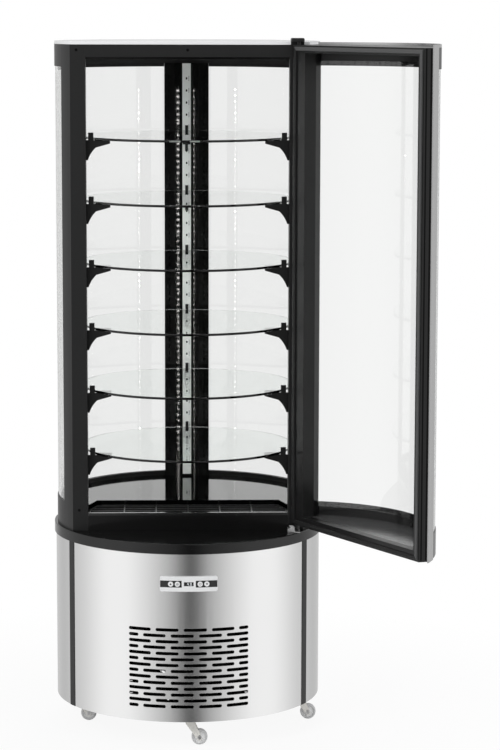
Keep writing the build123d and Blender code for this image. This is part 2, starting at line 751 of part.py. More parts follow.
for name, (x, y) in zip(caster_names, caster_spots):
    with BuildPart() as fork:
        with BuildSketch(Plane.XY.offset(fork_top)):
            with Locations((x, y)):
                SlotCenterToCenter(caster_trail * 0.35, fork_width)
                Circle(king_pin_diameter / 2 + axle_clearance, mode=Mode.SUBTRACT)
        extrude(amount=fork_thickness)
        for side in (-1, 1):
            with BuildSketch(Plane.XZ.offset(-(y + side * (fork_gap + fork_thickness) / 2))):
                axle_x = x + caster_trail
                toe_z = wheel_radius - axle_diameter - fork_thickness
                shoulder_z = fork_top - axle_diameter
                back_toe = (axle_x - fork_toe, wheel_radius - axle_diameter / 2)
                front_toe = (axle_x + fork_toe, wheel_radius - axle_diameter / 2)
                with BuildLine():
                    Polyline((x - fork_back, race_z), (x - fork_back, shoulder_z), back_toe)
                    ThreePointArc(back_toe, (axle_x, toe_z), front_toe)
                    Polyline(front_toe, (x + fork_front, shoulder_z), (x + fork_front, race_z),
                             (x - fork_back, race_z))
                make_face()
            extrude(amount=fork_thickness / 2, both=True)
        with BuildSketch(Plane.XZ.offset(-(y + fork_width / 2 + 2))):
            with Locations((x + caster_trail, wheel_radius)):
                Circle(axle_diameter / 2)
        extrude(amount=fork_width + 4)
    save(fork, "caster_fork_" + name)
    with BuildPart() as wheel:
        with BuildSketch(Plane.XZ.offset(-(y + wheel_width / 2))):
            with Locations((x + caster_trail, wheel_radius)):
                Circle(wheel_radius)
                Circle(axle_diameter / 2 + axle_clearance, mode=Mode.SUBTRACT)
        extrude(amount=wheel_width)
        outer_rims = wheel.edges().filter_by(GeomType.CIRCLE).sort_by(SortBy.RADIUS)[-2:]
        fillet(outer_rims, radius=wheel_tread_round)
    save(wheel, "caster_wheel_" + name)

# ---- tower frame: base ring, front posts, sill, header and top ring --------------------------
flank = post_flank_angle
rear_half_angle = degrees(asin(rear_post_half_width / glass_inner)) + 0.1
front_plan_y = -ring_inner * sin(radians(flank))
ledge_start = ring_ledge_inset - flank
panes = (("right", -flank, quarter_turn - rear_half_angle),
         ("left", quarter_turn + rear_half_angle, half_turn + flank))

with BuildPart() as tower_base_ring:
    with BuildSketch(Plane.XY.offset(deck_top)):
        add(ring_sector(tower_radius, ring_inner, -flank, half_turn + flank))
    extrude(amount=base_ring_top - deck_top)
    with BuildSketch(Plane.XY.offset(base_ring_top - glass_insert)):
        add(ring_sector(glass_radius, glass_inner, -flank, half_turn + flank))
    extrude(amount=glass_insert, mode=Mode.SUBTRACT)
    ledge_bottom = floor_top - floor_thickness - ring_ledge_thickness
    with BuildSketch(Plane.XY.offset(ledge_bottom)):
        for start, end in ((ledge_start, quarter_turn - rear_half_angle),
                           (quarter_turn + rear_half_angle, half_turn - ledge_start)):
            add(ring_sector(ring_inner + 1, ring_inner - ring_ledge, start, end))
    extrude(amount=ring_ledge_thickness)
save(tower_base_ring, "tower_base_ring")

with BuildPart() as top_ring:
    with BuildSketch(Plane.XY.offset(top_ring_bottom)):
        add(ring_sector(tower_radius, ring_inner, -flank, half_turn + flank))
    extrude(amount=tower_top - top_ring_bottom)
    with BuildSketch(Plane.XY.offset(top_ring_bottom)):
        add(ring_sector(glass_radius, glass_inner, -flank, half_turn + flank))
    extrude(amount=glass_insert, mode=Mode.SUBTRACT)
save(top_ring, "top_ring")

for name, side in (("left", -1), ("right", 1)):
    corner_angle = degrees(asin(-chord_y / tower_radius))
    flank_sweep = corner_angle - flank
    with BuildPart() as post:
        with BuildSketch(Plane.XY.offset(deck_top)):
            with BuildLine():
                if side > 0:
                    flank_arc = CenterArc((0, 0), tower_radius, -corner_angle, flank_sweep)
                else:
                    flank_arc = CenterArc((0, 0), tower_radius, half_turn + corner_angle, -flank_sweep)
                inner = (side * ring_inner * cos(radians(flank)), front_plan_y)
                Polyline(flank_arc @ 1, inner, (side * post_inner_x, front_plan_y),
                         (side * post_inner_x, chord_y), flank_arc @ 0)
            make_face()
            offset(amount=-post_wall, mode=Mode.SUBTRACT)
        extrude(amount=tower_top - deck_top)
    save(post, "front_post_" + name)

with BuildPart() as sill:
    with BuildSketch(Plane.YZ.offset(-post_inner_x)):
        with Locations((chord_y, deck_top)):
            Rectangle(sill_depth, sill_top - deck_top, align=(Align.MIN, Align.MIN))
        offset(amount=-post_wall, mode=Mode.SUBTRACT)
    extrude(amount=2 * post_inner_x)
save(sill, "sill")

with BuildPart() as threshold_strip:
    with BuildSketch(Plane.YZ.offset(-post_inner_x)):
        with Locations((chord_y, sill_top)):
            Rectangle(threshold_depth, threshold_height, align=(Align.MIN, Align.MIN))
    extrude(amount=2 * post_inner_x)
    top_edges = threshold_strip.edges().filter_by(Axis.X).group_by(Axis.Z)[-1]
    fillet(top_edges, radius=1.2)
save(threshold_strip, "threshold_strip")

with BuildPart() as header:
    with BuildSketch(Plane.YZ.offset(-post_inner_x)):
        with Locations((chord_y, header_bottom)):
            Rectangle(header_depth, tower_top - header_bottom, align=(Align.MIN, Align.MIN))
        offset(amount=-post_wall, mode=Mode.SUBTRACT)
    extrude(amount=2 * post_inner_x)
save(header, "header")

# ---- top panel: a foamed lid whose underside is the ceiling, with a notch for the upper hinge --
with BuildPart() as top_panel:
    with BuildSketch(Plane.XY.offset(tower_top)):
        Circle(tower_radius)
        with Locations((0, chord_y)):
            Rectangle(2 * tower_radius, tower_radius, align=(Align.CENTER, Align.MAX), mode=Mode.SUBTRACT)
        with Locations((cap_left - fit_gap, chord_y)):
            Rectangle(tower_radius, cap_back + fit_gap - chord_y, align=(Align.MIN, Align.MIN),
                      mode=Mode.SUBTRACT)
    extrude(amount=top_panel_thickness)
    with BuildSketch(Plane.XY.offset(ceiling_z)):
        Circle(ring_inner)
        with Locations((0, front_plan_y)):
            Rectangle(2 * tower_radius, tower_radius, align=(Align.CENTER, Align.MAX), mode=Mode.SUBTRACT)
        with Locations((0, chord_y + header_depth)):
            Rectangle(2 * post_inner_x, front_plan_y - chord_y - header_depth + 1,
                      align=(Align.CENTER, Align.MIN))
    extrude(amount=tower_top - ceiling_z)
    fillet(top_panel.edges().group_by(Axis.Z)[-1], radius=1.5)
save(top_panel, "top_panel")

# ---- rear post: the air duct between the panes, with the slotted shelf rail on it ------------
rear_flat_y = rear_post_front_y + rear_step


def rear_post_outline(grow):
    """Plan of the rear post without its round back, widened by a clearance at each side."""
    half, foot, crown = rear_post_half_width + grow, rear_foot + grow, rear_crown + grow
    return [(-half, rear_flat_y), (-foot, rear_flat_y), (-crown, rear_post_front_y),
            (crown, rear_post_front_y), (foot, rear_flat_y), (half, rear_flat_y),
            (half, 2 * tower_radius), (-half, 2 * tower_radius)]


with BuildSketch() as duct_plan:
    Circle(tower_radius)
    with BuildLine():
        Polyline(*rear_post_outline(0), close=True)
    make_face(mode=Mode.INTERSECT)
    offset(amount=-rear_post_wall, mode=Mode.SUBTRACT)

with BuildPart() as rear_post:
    with BuildSketch(Plane.XY.offset(base_ring_top)):
        add(duct_plan.sketch)
    extrude(amount=top_ring_bottom - base_ring_top)
    with BuildSketch(Plane.XY.offset(floor_top - floor_thickness)):
        add(duct_plan.sketch)
        Circle(ring_inner, mode=Mode.INTERSECT)
    extrude(amount=base_ring_top - floor_top + floor_thickness)
    with BuildSketch(Plane.XZ.offset(-rear_flat_y)):
        with Locations((0, (base_ring_top + top_ring_bottom) / 2)):
            with GridLocations(2 * outlet_x, outlet_pitch, 2, outlet_count):
                Rectangle(*outlet_slot)
    extrude(amount=-rear_post_wall, mode=Mode.SUBTRACT)
save(rear_post, "rear_post")

rail_bottom = floor_top + rail_rise
rail_top = top_ring_bottom
slot_count = int((rail_top - rail_bottom) / rail_slot_pitch) - 1
with BuildPart() as shelf_rail:
    with BuildSketch(Plane.XZ.offset(-rear_post_front_y)):
        with Locations((0, (rail_bottom + rail_top) / 2)):
            Rectangle(rail_width, rail_top - rail_bottom)
            with GridLocations(1, rail_slot_pitch, 1, slot_count):
                Rectangle(*rail_slot, mode=Mode.SUBTRACT)
    extrude(amount=rail_thickness)
save(shelf_rail, "shelf_rail")

# ---- floor of the display and the return-air grille in front of it ---------------------------
grille_front_y = chord_y + threshold_depth
grille_half = post_inner_x
grille_outline = [
    (-grille_half, grille_front_y), (grille_half, grille_front_y), (grille_half, grille_side_y),
    (grille_half - grille_corner[0], grille_rear_y), (grille_corner[0] - grille_half, grille_rear_y),
    (-grille_half, grille_side_y),
]
with BuildPart() as floor_plate:
    with BuildSketch(Plane.XY.offset(floor_top - floor_thickness)):
        Circle(ring_inner)
        with Locations((0, grille_side_y)):
            Rectangle(2 * tower_radius, tower_radius, align=(Align.CENTER, Align.MAX), mode=Mode.SUBTRACT)
        with BuildLine():
            Polyline(*grille_outline, close=True)
        make_face(mode=Mode.SUBTRACT)
        with BuildLine():
            Polyline(*[(x, y - fit_gap) for x, y in rear_post_outline(fit_gap)], close=True)
        make_face(mode=Mode.SUBTRACT)
    extrude(amount=floor_thickness)
    lip_half = grille_half - grille_corner[0] - grille_support
    with BuildSketch(Plane.YZ.offset(-lip_half)):
        with BuildLine():
            Polyline((grille_rear_y, floor_top), (grille_rear_y, sill_top),
                     (grille_rear_y - grille_support, sill_top),
                     (grille_rear_y - grille_support, sill_top - floor_thickness),
                     (grille_rear_y + floor_thickness, sill_top - floor_thickness),
                     (grille_rear_y + floor_thickness, floor_top), close=True)
        make_face()
    extrude(amount=2 * lip_half)
save(floor_plate, "floor_plate")

with BuildPart() as air_grille:
    with BuildSketch(Plane.XY.offset(sill_top)):
        with BuildLine():
            Polyline(*grille_outline, close=True)
        make_face()
        offset(amount=-grille_frame_bar, mode=Mode.SUBTRACT)
        for setback in grille_bar_setbacks:
            with Locations((0, chord_y + setback)):
                Rectangle(2 * grille_half - grille_frame_bar, grille_bar)
        with Locations((0, (grille_front_y + grille_rear_y) / 2)):
            with GridLocations(grille_divider_pitch, 1, 5, 1):
                Rectangle(grille_bar, grille_rear_y - grille_front_y - grille_frame_bar)
        with BuildLine():
            Polyline(*grille_outline, close=True)
        make_face(mode=Mode.INTERSECT)
    extrude(amount=grille_height)
save(air_grille, "air_grille")

# ---- panes, LED strips, screws ---------------------------------------------------------------
for name, start, end in panes:
    with BuildPart() as pane:
        with BuildSketch(Plane.XY.offset(base_ring_top - glass_insert)):
            add(ring_sector(glass_radius, glass_inner, start, end))
        extrude(amount=top_ring_bottom - base_ring_top + 2 * glass_insert)
    save(pane, "side_glass_" + name)

with BuildPart() as led_strips:
    with BuildSketch(Plane.XY.offset(led_bottom)):
        with Locations((-led_x, front_plan_y), (led_x, front_plan_y)):
            Rectangle(led_width, led_depth, align=(Align.CENTER, Align.MIN))
    extrude(amount=led_top - led_bottom)
save(led_strips, "led_strips")

with BuildPart() as frame_screws:
    with BuildSketch(Plane.XZ.offset(-chord_y)):
        with Locations((-screw_x, screw_top), (0, screw_top), (screw_x, screw_top),
                       (-screw_x, screw_bottom), (screw_x, screw_bottom)):
            Circle(screw_head / 2)
    extrude(amount=screw_head_height)
save(frame_screws, "frame_screws")

# ---- shelf brackets and shelves --------------------------------------------------------------


def bracket_profile(reach, start):
    """Side view of one bracket: root at x = 0, arm top at y = 0, the peg stands on the arm."""
    with BuildSketch() as profile:
        with BuildLine():
            Polyline((bracket_knee[0], -bracket_knee[1]), (reach, -bracket_tip_depth), (reach, 0),
                     (start + peg_width, 0), (start + peg_width, peg_height), (start, peg_height),
                     (start, 0), (0, 0), (0, -bracket_root_depth), (bracket_toe, -bracket_root_depth))
            ThreePointArc((bracket_toe, -bracket_root_depth), (bracket_hollow[0], -bracket_hollow[1]),
                          (bracket_knee[0], -bracket_knee[1]))
        make_face()
    return profile.sketch


arm_tops = [top - shelf_thickness for top in shelf_tops]
shelf_edge_x = sqrt(shelf_radius**2 - (bracket_y + bracket_thickness / 2) ** 2)
front_peg_start = post_inner_x - shelf_edge_x - peg_play - peg_width
with BuildPart() as front_brackets:
    for level in arm_tops:
        left_plane = Plane(origin=(-post_inner_x, bracket_y, level), x_dir=(1, 0, 0), z_dir=(0, -1, 0))
        right_plane = Plane(origin=(post_inner_x, bracket_y, level), x_dir=(-1, 0, 0), z_dir=(0, 1, 0))
        for plane in (left_plane, right_plane):
            with BuildSketch(plane):
                add(bracket_profile(bracket_reach, front_peg_start))
    extrude(amount=bracket_thickness / 2, both=True)
save(front_brackets, "front_brackets")

rail_face_y = rear_post_front_y - rail_thickness
rear_peg_start = rail_face_y - shelf_radius - peg_play - peg_width
with BuildPart() as rear_brackets:
    for level in arm_tops:
        with BuildSketch(Plane(origin=(0, rail_face_y, level), x_dir=(0, -1, 0), z_dir=(-1, 0, 0))):
            add(bracket_profile(rear_bracket_reach, rear_peg_start))
    extrude(amount=bracket_thickness / 2, both=True)
    with BuildSketch(Plane.XZ.offset(-rail_face_y)):
        for level in arm_tops:
            with Locations((0, level)):
                Rectangle(*rear_bracket_plate, align=(Align.CENTER, Align.MAX))
    extrude(amount=rear_bracket_plate_thickness)
save(rear_brackets, "rear_brackets")

for number, top in enumerate(shelf_tops, start=1):
    with BuildPart() as shelf:
        with BuildSketch(Plane.XY.offset(top - shelf_thickness)):
            Circle(shelf_radius)
        extrude(amount=shelf_thickness)
        chamfer(shelf.edges().filter_by(GeomType.CIRCLE), length=shelf_edge)
    save(shelf, "glass_shelf_" + str(number))

# ---- hinges: a steel foot on the deck and a black block on the right post, each with a pin ------
with BuildPart() as lower_hinge:
    with BuildSketch(Plane.XY.offset(deck_top)):
        left = hinge_block_x - hinge_block[0] / 2
        right = hinge_x + pin_diameter
        with Locations((left, hinge_block_y - hinge_block[1] / 2)):
            Rectangle(right - left, hinge_block[1] + hinge_plate_tail, align=(Align.MIN, Align.MIN))
    extrude(amount=hinge_plate_thickness)
    with BuildSketch(Plane.XY.offset(deck_top)):
        with Locations((hinge_block_x, hinge_block_y)):
            Rectangle(hinge_block[0], hinge_block[1])
    extrude(amount=hinge_block[2])
    with BuildSketch(Plane.XY.offset(deck_top)):
        with Locations((hinge_x, hinge_y)):
            Circle(pin_diameter / 2 + hinge_boss_wall)
    extrude(amount=door_bottom - deck_top)
    with BuildSketch(Plane.XY.offset(deck_top)):
        with Locations((hinge_x, hinge_y)):
            Circle(pin_diameter / 2)
    extrude(amount=door_bottom - deck_top + pin_reach)
save(lower_hinge, "lower_hinge")

with BuildPart() as upper_hinge:
    with BuildSketch(Plane.XY.offset(panel_top)):
        with Locations((hinge_x + hinge_cap_offset[0], hinge_y + hinge_cap_offset[1])):
            RectangleRounded(hinge_cap[0], hinge_cap[1], hinge_cap_corner)
    extrude(amount=hinge_cap[2])
    chamfer(upper_hinge.edges().group_by(Axis.Z)[-1], length=hinge_cap_chamfer)
    with BuildSketch(Plane.XY.offset(tower_top)):
        with Locations((cap_left, chord_y)):
            Rectangle(hinge_cap[0], cap_back - chord_y, align=(Align.MIN, Align.MIN))
    extrude(amount=top_panel_thickness)
    with BuildSketch(Plane.XY.offset(panel_top)):
        with Locations((hinge_x, hinge_y)):
            Circle(pin_diameter / 2)
    extrude(amount=-(top_panel_thickness + pin_reach))
save(upper_hinge, "upper_hinge")

# ---- door ------------------------------------------------------------------------------------
glass_start = -degrees(acos((hinge_stile_inner + stile_tongue) / glass_inner))
glass_end = edge_strip_start + edge_strip_sweep - full_turn
hinge_corner = degrees(-acos(door_hinge_edge / tower_radius))
strip_inner = tower_radius - edge_strip_thickness


def polar(radius, angle):
    return (radius * cos(radians(angle)), radius * sin(radians(angle)))


with BuildSketch() as hinge_stile_plan:
    with BuildLine():
        hinge_arc = CenterArc((0, 0), tower_radius, glass_start, hinge_corner - glass_start)
        Polyline(hinge_arc @ 1, (door_hinge_edge, door_face_y), (hinge_stile_inner, door_face_y),
                 (hinge_stile_inner, door_face_y - hinge_stile_depth), polar(glass_inner, glass_start),
                 hinge_arc @ 0)
    make_face()

with BuildSketch() as latch_stile_plan:
    with BuildLine():
        latch_arc = CenterArc((0, 0), strip_inner, edge_strip_start, edge_strip_sweep)
        Polyline(latch_arc @ 0, (door_latch_edge, door_face_y), (latch_stile_inner, door_face_y),
                 (latch_stile_inner, frame_back_y - latch_stile_return), polar(glass_inner, glass_end),
                 latch_arc @ 1)
    make_face()

with BuildSketch() as cap_plan:
    add(door_plan(tower_radius, frame_back_y, latch_stile_middle, hinge_stile_middle))
    add(hinge_stile_plan.sketch, mode=Mode.SUBTRACT)
    add(latch_stile_plan.sketch, mode=Mode.SUBTRACT)
    add(ring_sector(tower_radius + 1, strip_inner, edge_strip_start, edge_strip_start + edge_strip_sweep),
        mode=Mode.SUBTRACT)

with BuildPart() as door_frame:
    with BuildSketch(door_level(door_bottom)):
        add(hinge_stile_plan.sketch)
        add(latch_stile_plan.sketch)
    extrude(amount=tower_top - door_bottom)
    top_rail_bottom = tower_top - top_rail_height
    for bottom, height in ((door_bottom, bottom_rail_height), (top_rail_bottom, top_rail_height)):
        with BuildSketch(door_level(bottom)):
            with Locations(((latch_stile_inner + hinge_stile_inner) / 2, door_face_y)):
                Rectangle(hinge_stile_inner - latch_stile_inner, door_frame_depth,
                          align=(Align.CENTER, Align.MAX))
        extrude(amount=height)
    for level, depth in ((door_bottom, pin_reach + 1), (tower_top, -pin_reach - 1)):
        with BuildSketch(door_level(level)):
            with Locations((hinge_x, hinge_y)):
                Circle(pin_diameter / 2 + pin_clearance)
        extrude(amount=depth, mode=Mode.SUBTRACT)
save(door_frame, "door_frame")

with BuildPart() as door_bottom_cap:
    cap_top = door_bottom + bottom_rail_height - cap_setback
    with BuildSketch(door_level(door_bottom)):
        add(cap_plan.sketch)
    extrude(amount=cap_top - door_bottom)
    with BuildSketch(door_level(door_bottom)):
        add(cap_plan.sketch)
        offset(amount=-cap_wall, mode=Mode.REPLACE)
    extrude(amount=cap_top - door_bottom - cap_plate, mode=Mode.SUBTRACT)
    with BuildSketch(door_level(door_bottom)):
        add(ring_sector(tower_radius, glass_radius, glass_end, glass_start))
    extrude(amount=door_band_bottom - door_bottom)
save(door_bottom_cap, "door_bottom_cap")

with BuildPart() as door_top_cap:
    with BuildSketch(door_level(tower_top - cap_plate)):
        add(cap_plan.sketch)
    extrude(amount=cap_plate)
    with BuildSketch(door_level(door_band_top)):
        add(ring_sector(tower_radius, glass_radius, glass_end, glass_start))
    extrude(amount=tower_top - door_band_top)
save(door_top_cap, "door_top_cap")

with BuildPart() as door_glass:
    with BuildSketch(door_level(door_band_bottom - glass_insert)):
        add(ring_sector(glass_radius, glass_inner, glass_end, glass_start))
    extrude(amount=door_band_top - door_band_bottom + 2 * glass_insert)
save(door_glass, "door_glass")

with BuildPart() as door_trim:
    with BuildSketch(door_level(edge_strip_bottom)):
        add(ring_sector(tower_radius, strip_inner, edge_strip_start, edge_strip_start + edge_strip_sweep))
    extrude(amount=tower_top + top_rim_height - edge_strip_bottom)
    with BuildSketch(door_level(tower_top)):
        add(ring_sector(tower_radius, glass_radius, glass_end, top_rim_end))
    extrude(amount=top_rim_height)
save(door_trim, "door_trim")

gasket_left = gasket_latch_x
gasket_bottom = door_bottom + gasket_inset
gasket_top = tower_top - gasket_inset
face_plane = Plane(
    origin=(door_axis_x - door_sin * door_face_y, door_axis_y + door_cos * door_face_y, 0),
    x_dir=(door_cos, door_sin, 0),
    z_dir=(door_sin, -door_cos, 0),
)
with BuildPart() as door_gasket:
    with BuildSketch(face_plane):
        with Locations(((gasket_left + gasket_hinge_x) / 2, (gasket_bottom + gasket_top) / 2)):
            RectangleRounded(gasket_hinge_x - gasket_left, gasket_top - gasket_bottom, gasket_corner)
            RectangleRounded(gasket_hinge_x - gasket_left - 2 * gasket_width,
                             gasket_top - gasket_bottom - 2 * gasket_width, gasket_corner,
                             mode=Mode.SUBTRACT)
    extrude(amount=-gasket_thickness)
save(door_gasket, "door_gasket")
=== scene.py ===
# Finishes, lamps, seal, wheels and small hardware for a round glass display cabinet.
from math import cos, pi, radians, sin
import bmesh
import bpy
from mathutils import Matrix, Vector


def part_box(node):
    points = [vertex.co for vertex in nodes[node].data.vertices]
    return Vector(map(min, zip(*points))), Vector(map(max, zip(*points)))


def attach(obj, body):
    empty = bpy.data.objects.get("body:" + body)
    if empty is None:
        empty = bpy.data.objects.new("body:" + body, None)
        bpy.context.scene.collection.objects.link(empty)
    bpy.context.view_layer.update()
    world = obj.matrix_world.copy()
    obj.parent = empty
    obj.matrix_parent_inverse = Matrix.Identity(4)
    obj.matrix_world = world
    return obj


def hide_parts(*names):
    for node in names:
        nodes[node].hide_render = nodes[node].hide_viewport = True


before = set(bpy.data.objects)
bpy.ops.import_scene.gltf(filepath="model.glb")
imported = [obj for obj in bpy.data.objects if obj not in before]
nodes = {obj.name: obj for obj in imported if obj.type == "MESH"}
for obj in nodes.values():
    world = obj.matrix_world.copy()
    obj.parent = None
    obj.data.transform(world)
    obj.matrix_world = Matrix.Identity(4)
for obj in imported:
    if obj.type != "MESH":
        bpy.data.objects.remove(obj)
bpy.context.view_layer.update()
print("cabinet frame loaded:", len(nodes), "nodes")

# the drum's axis is the z axis; the door hangs at the right and stands open
cabinet = {"hinge": (0.274, -0.183), "doorAngle": 120.5, "frontFace": -0.168}


# shader helpers
def startMaterial(name):
    mat = bpy.data.materials.new(name)
    mat.use_nodes = True
    mat.node_tree.nodes.clear()
    out = mat.node_tree.nodes.new("ShaderNodeOutputMaterial")
    return mat, mat.node_tree, out


def node(tree, kind, inputs=None, **settings):
    # adds a node, sets its properties, then its sockets; a socket value may be another node's output
    made = tree.nodes.new(kind)
    for key, value in settings.items():
        setattr(made, key, value)
    for key, value in (inputs or {}).items():
        if isinstance(value, bpy.types.NodeSocket):
            tree.links.new(value, made.inputs[key])
        else:
            made.inputs[key].default_value = value
    return made


def math(tree, operation, a, b=0.0, clamp=False):
    return node(tree, "ShaderNodeMath", {0: a, 1: b}, operation=operation, use_clamp=clamp).outputs[0]


def mapRange(tree, value, fromLow, fromHigh, toLow, toHigh):
    sockets = {"Value": value, "From Min": fromLow, "From Max": fromHigh, "To Min": toLow, "To Max": toHigh}
    return node(tree, "ShaderNodeMapRange", sockets).outputs["Result"]


def mixColor(tree, factor, a, b, blend="MIX"):
    made = node(tree, "ShaderNodeMix", data_type="RGBA", blend_type=blend)
    for index, value in ((0, factor), (6, a), (7, b)):
        if isinstance(value, bpy.types.NodeSocket):
            tree.links.new(value, made.inputs[index])
        else:
            made.inputs[index].default_value = value
    return made.outputs[2]


def startGroup(name, inputs, outputs):
    group = bpy.data.node_groups.new(name, "ShaderNodeTree")
    for label, value in inputs:
        socket = group.interface.new_socket(label, in_out="INPUT", socket_type="NodeSocketFloat")
        socket.default_value = value
    for label, kind in outputs:
        group.interface.new_socket(label, in_out="OUTPUT", socket_type=kind)
    return group, node(group, "NodeGroupInput").outputs, node(group, "NodeGroupOutput")


def useGroup(tree, group, **values):
    made = node(tree, "ShaderNodeGroup", node_tree=group)
    for key, value in values.items():
        made.inputs[key].default_value = value
    return made.outputs


def objectCoords(tree):
    return node(tree, "ShaderNodeTexCoord").outputs["Object"]


floatSocket, vectorSocket = "NodeSocketFloat", "NodeSocketVector"


def makeBrushedLines():
    # fine lines that run round the drum, with long soft streaks between them
    group, given, out = startGroup(
        "brushedLines", [("Fineness", 5200.0), ("Streaks", 900.0), ("Contrast", 0.5)],
        [("Lines", floatSocket), ("Height", floatSocket)])
    place = node(group, "ShaderNodeSeparateXYZ", {0: objectCoords(group)}).outputs
    turn = math(group, "ARCTAN2", place[1], place[0])
    layers = []
    for scaleZ, along, detail in ((given["Fineness"], 26.0, 2.0), (given["Streaks"], 9.0, 3.0)):
        height = math(group, "MULTIPLY", place[2], scaleZ)
        spot = node(group, "ShaderNodeCombineXYZ", {"X": math(group, "MULTIPLY", turn, along), "Y": height})
        layers.append(node(group, "ShaderNodeTexNoise",
                           {"Vector": spot.outputs[0], "Scale": 1.0, "Detail": detail}).outputs[0])
    fine, long = (math(group, "MULTIPLY", layer, share) for layer, share in zip(layers, (0.6, 0.4)))
    both = math(group, "ADD", fine, long)
    spread = math(group, "MULTIPLY", math(group, "SUBTRACT", both, 0.5), given["Contrast"])
    group.links.new(math(group, "ADD", spread, 0.5, clamp=True), out.inputs["Lines"])
    group.links.new(both, out.inputs["Height"])
    return group


def makeFineGrain():
    # the tight orange peel of powder coat, or the eggshell of a moulding, at any scale
    group, given, out = startGroup(
        "fineGrain", [("Size", 900.0), ("Mottle", 14.0), ("Contrast", 0.4)],
        [("Grain", floatSocket), ("Mottling", floatSocket), ("Height", floatSocket)])
    coords = objectCoords(group)
    tight = node(group, "ShaderNodeTexNoise", {"Vector": coords, "Scale": given["Size"], "Detail": 2.0})
    cells = node(group, "ShaderNodeTexVoronoi", {"Vector": coords, "Scale": given["Size"]})
    broad = node(group, "ShaderNodeTexNoise", {"Vector": coords, "Scale": given["Mottle"], "Detail": 4.0})
    spread = math(group, "MULTIPLY", math(group, "SUBTRACT", broad.outputs[0], 0.5), given["Contrast"])
    group.links.new(tight.outputs[0], out.inputs["Grain"])
    group.links.new(math(group, "ADD", spread, 0.5, clamp=True), out.inputs["Mottling"])
    group.links.new(math(group, "ADD", tight.outputs[0], cells.outputs["Distance"]), out.inputs["Height"])
    return group


def makeEdgeRoundingAndHighlight():
    # rounds every hard corner in the normal, and gives a patchy mask along the edges for a painted highlight
    group, given, out = startGroup(
        "edgeRoundingAndHighlight", [("Radius", 0.0008), ("Amount", 0.6), ("Breakup", 60.0)],
        [("Edge", floatSocket), ("Normal", vectorSocket)])
    rounded = node(group, "ShaderNodeBevel", {"Radius": given["Radius"]}, samples=4).outputs[0]
    flat = node(group, "ShaderNodeNewGeometry").outputs["Normal"]
    flatness = node(group, "ShaderNodeVectorMath", {0: rounded, 1: flat}, operation="DOT_PRODUCT")
    edge = mapRange(group, flatness.outputs["Value"], 0.995, 0.86, 0.0, 1.0)
    patches = node(group, "ShaderNodeTexNoise",
                   {"Vector": objectCoords(group), "Scale": given["Breakup"], "Detail": 3.0}).outputs[0]
    patchyHighlight = math(group, "MULTIPLY", edge, mapRange(group, patches, 0.35, 0.62, 0.15, 1.0))
    group.links.new(math(group, "MULTIPLY", patchyHighlight, given["Amount"], clamp=True), out.inputs["Edge"])
    group.links.new(rounded, out.inputs["Normal"])
    return group


def makeHandMarks():
    # faint wiping arcs and prints, kept for glass and gloss
    group, given, out = startGroup(
        "handMarks", [("Size", 9.0), ("Strength", 1.0)], [("Marks", floatSocket), ("Dust", floatSocket)])
    coords = objectCoords(group)
    swirl = node(group, "ShaderNodeTexNoise", {"Vector": coords, "Scale": given["Size"], "Detail": 5.0,
                                               "Distortion": 1.4}).outputs[0]
    specks = node(group, "ShaderNodeTexVoronoi", {"Vector": coords, "Scale": 420.0}).outputs["Distance"]
    soft = mapRange(group, swirl, 0.46, 0.74, 0.0, 1.0)
    group.links.new(math(group, "MULTIPLY", soft, given["Strength"], clamp=True), out.inputs["Marks"])
    dots = mapRange(group, specks, 0.09, 0.03, 0.0, 1.0)
    group.links.new(math(group, "MULTIPLY", dots, given["Strength"], clamp=True), out.inputs["Dust"])
    return group


brushedLines = makeBrushedLines()
fineGrain = makeFineGrain()
edgeRoundingAndHighlight = makeEdgeRoundingAndHighlight()
handMarks = makeHandMarks()
print("shader groups built")


def shade(color):
    # a colour with its alpha, from one tone or from red, green and blue
    return (*color[:3], 1.0) if isinstance(color, tuple) else (color, color, color, 1.0)


def tone(color, share, lift=0.0):
    # the same colour, darker or lighter
    return shade(tuple(min(1.0, v * share + lift) for v in shade(color)[:3]))


def mottled(tree, grain, color, shares):
    # one coat, a little darker and lighter in broad soft patches
    return mixColor(tree, grain["Mottling"], tone(color, shares[0]), tone(color, shares[1]))


coat = {"patches": (0.86, 1.12), "widePatches": (0.8, 1.2), "mottle": 0.25, "highlightAdd": 0.002, "bump": 0.35}


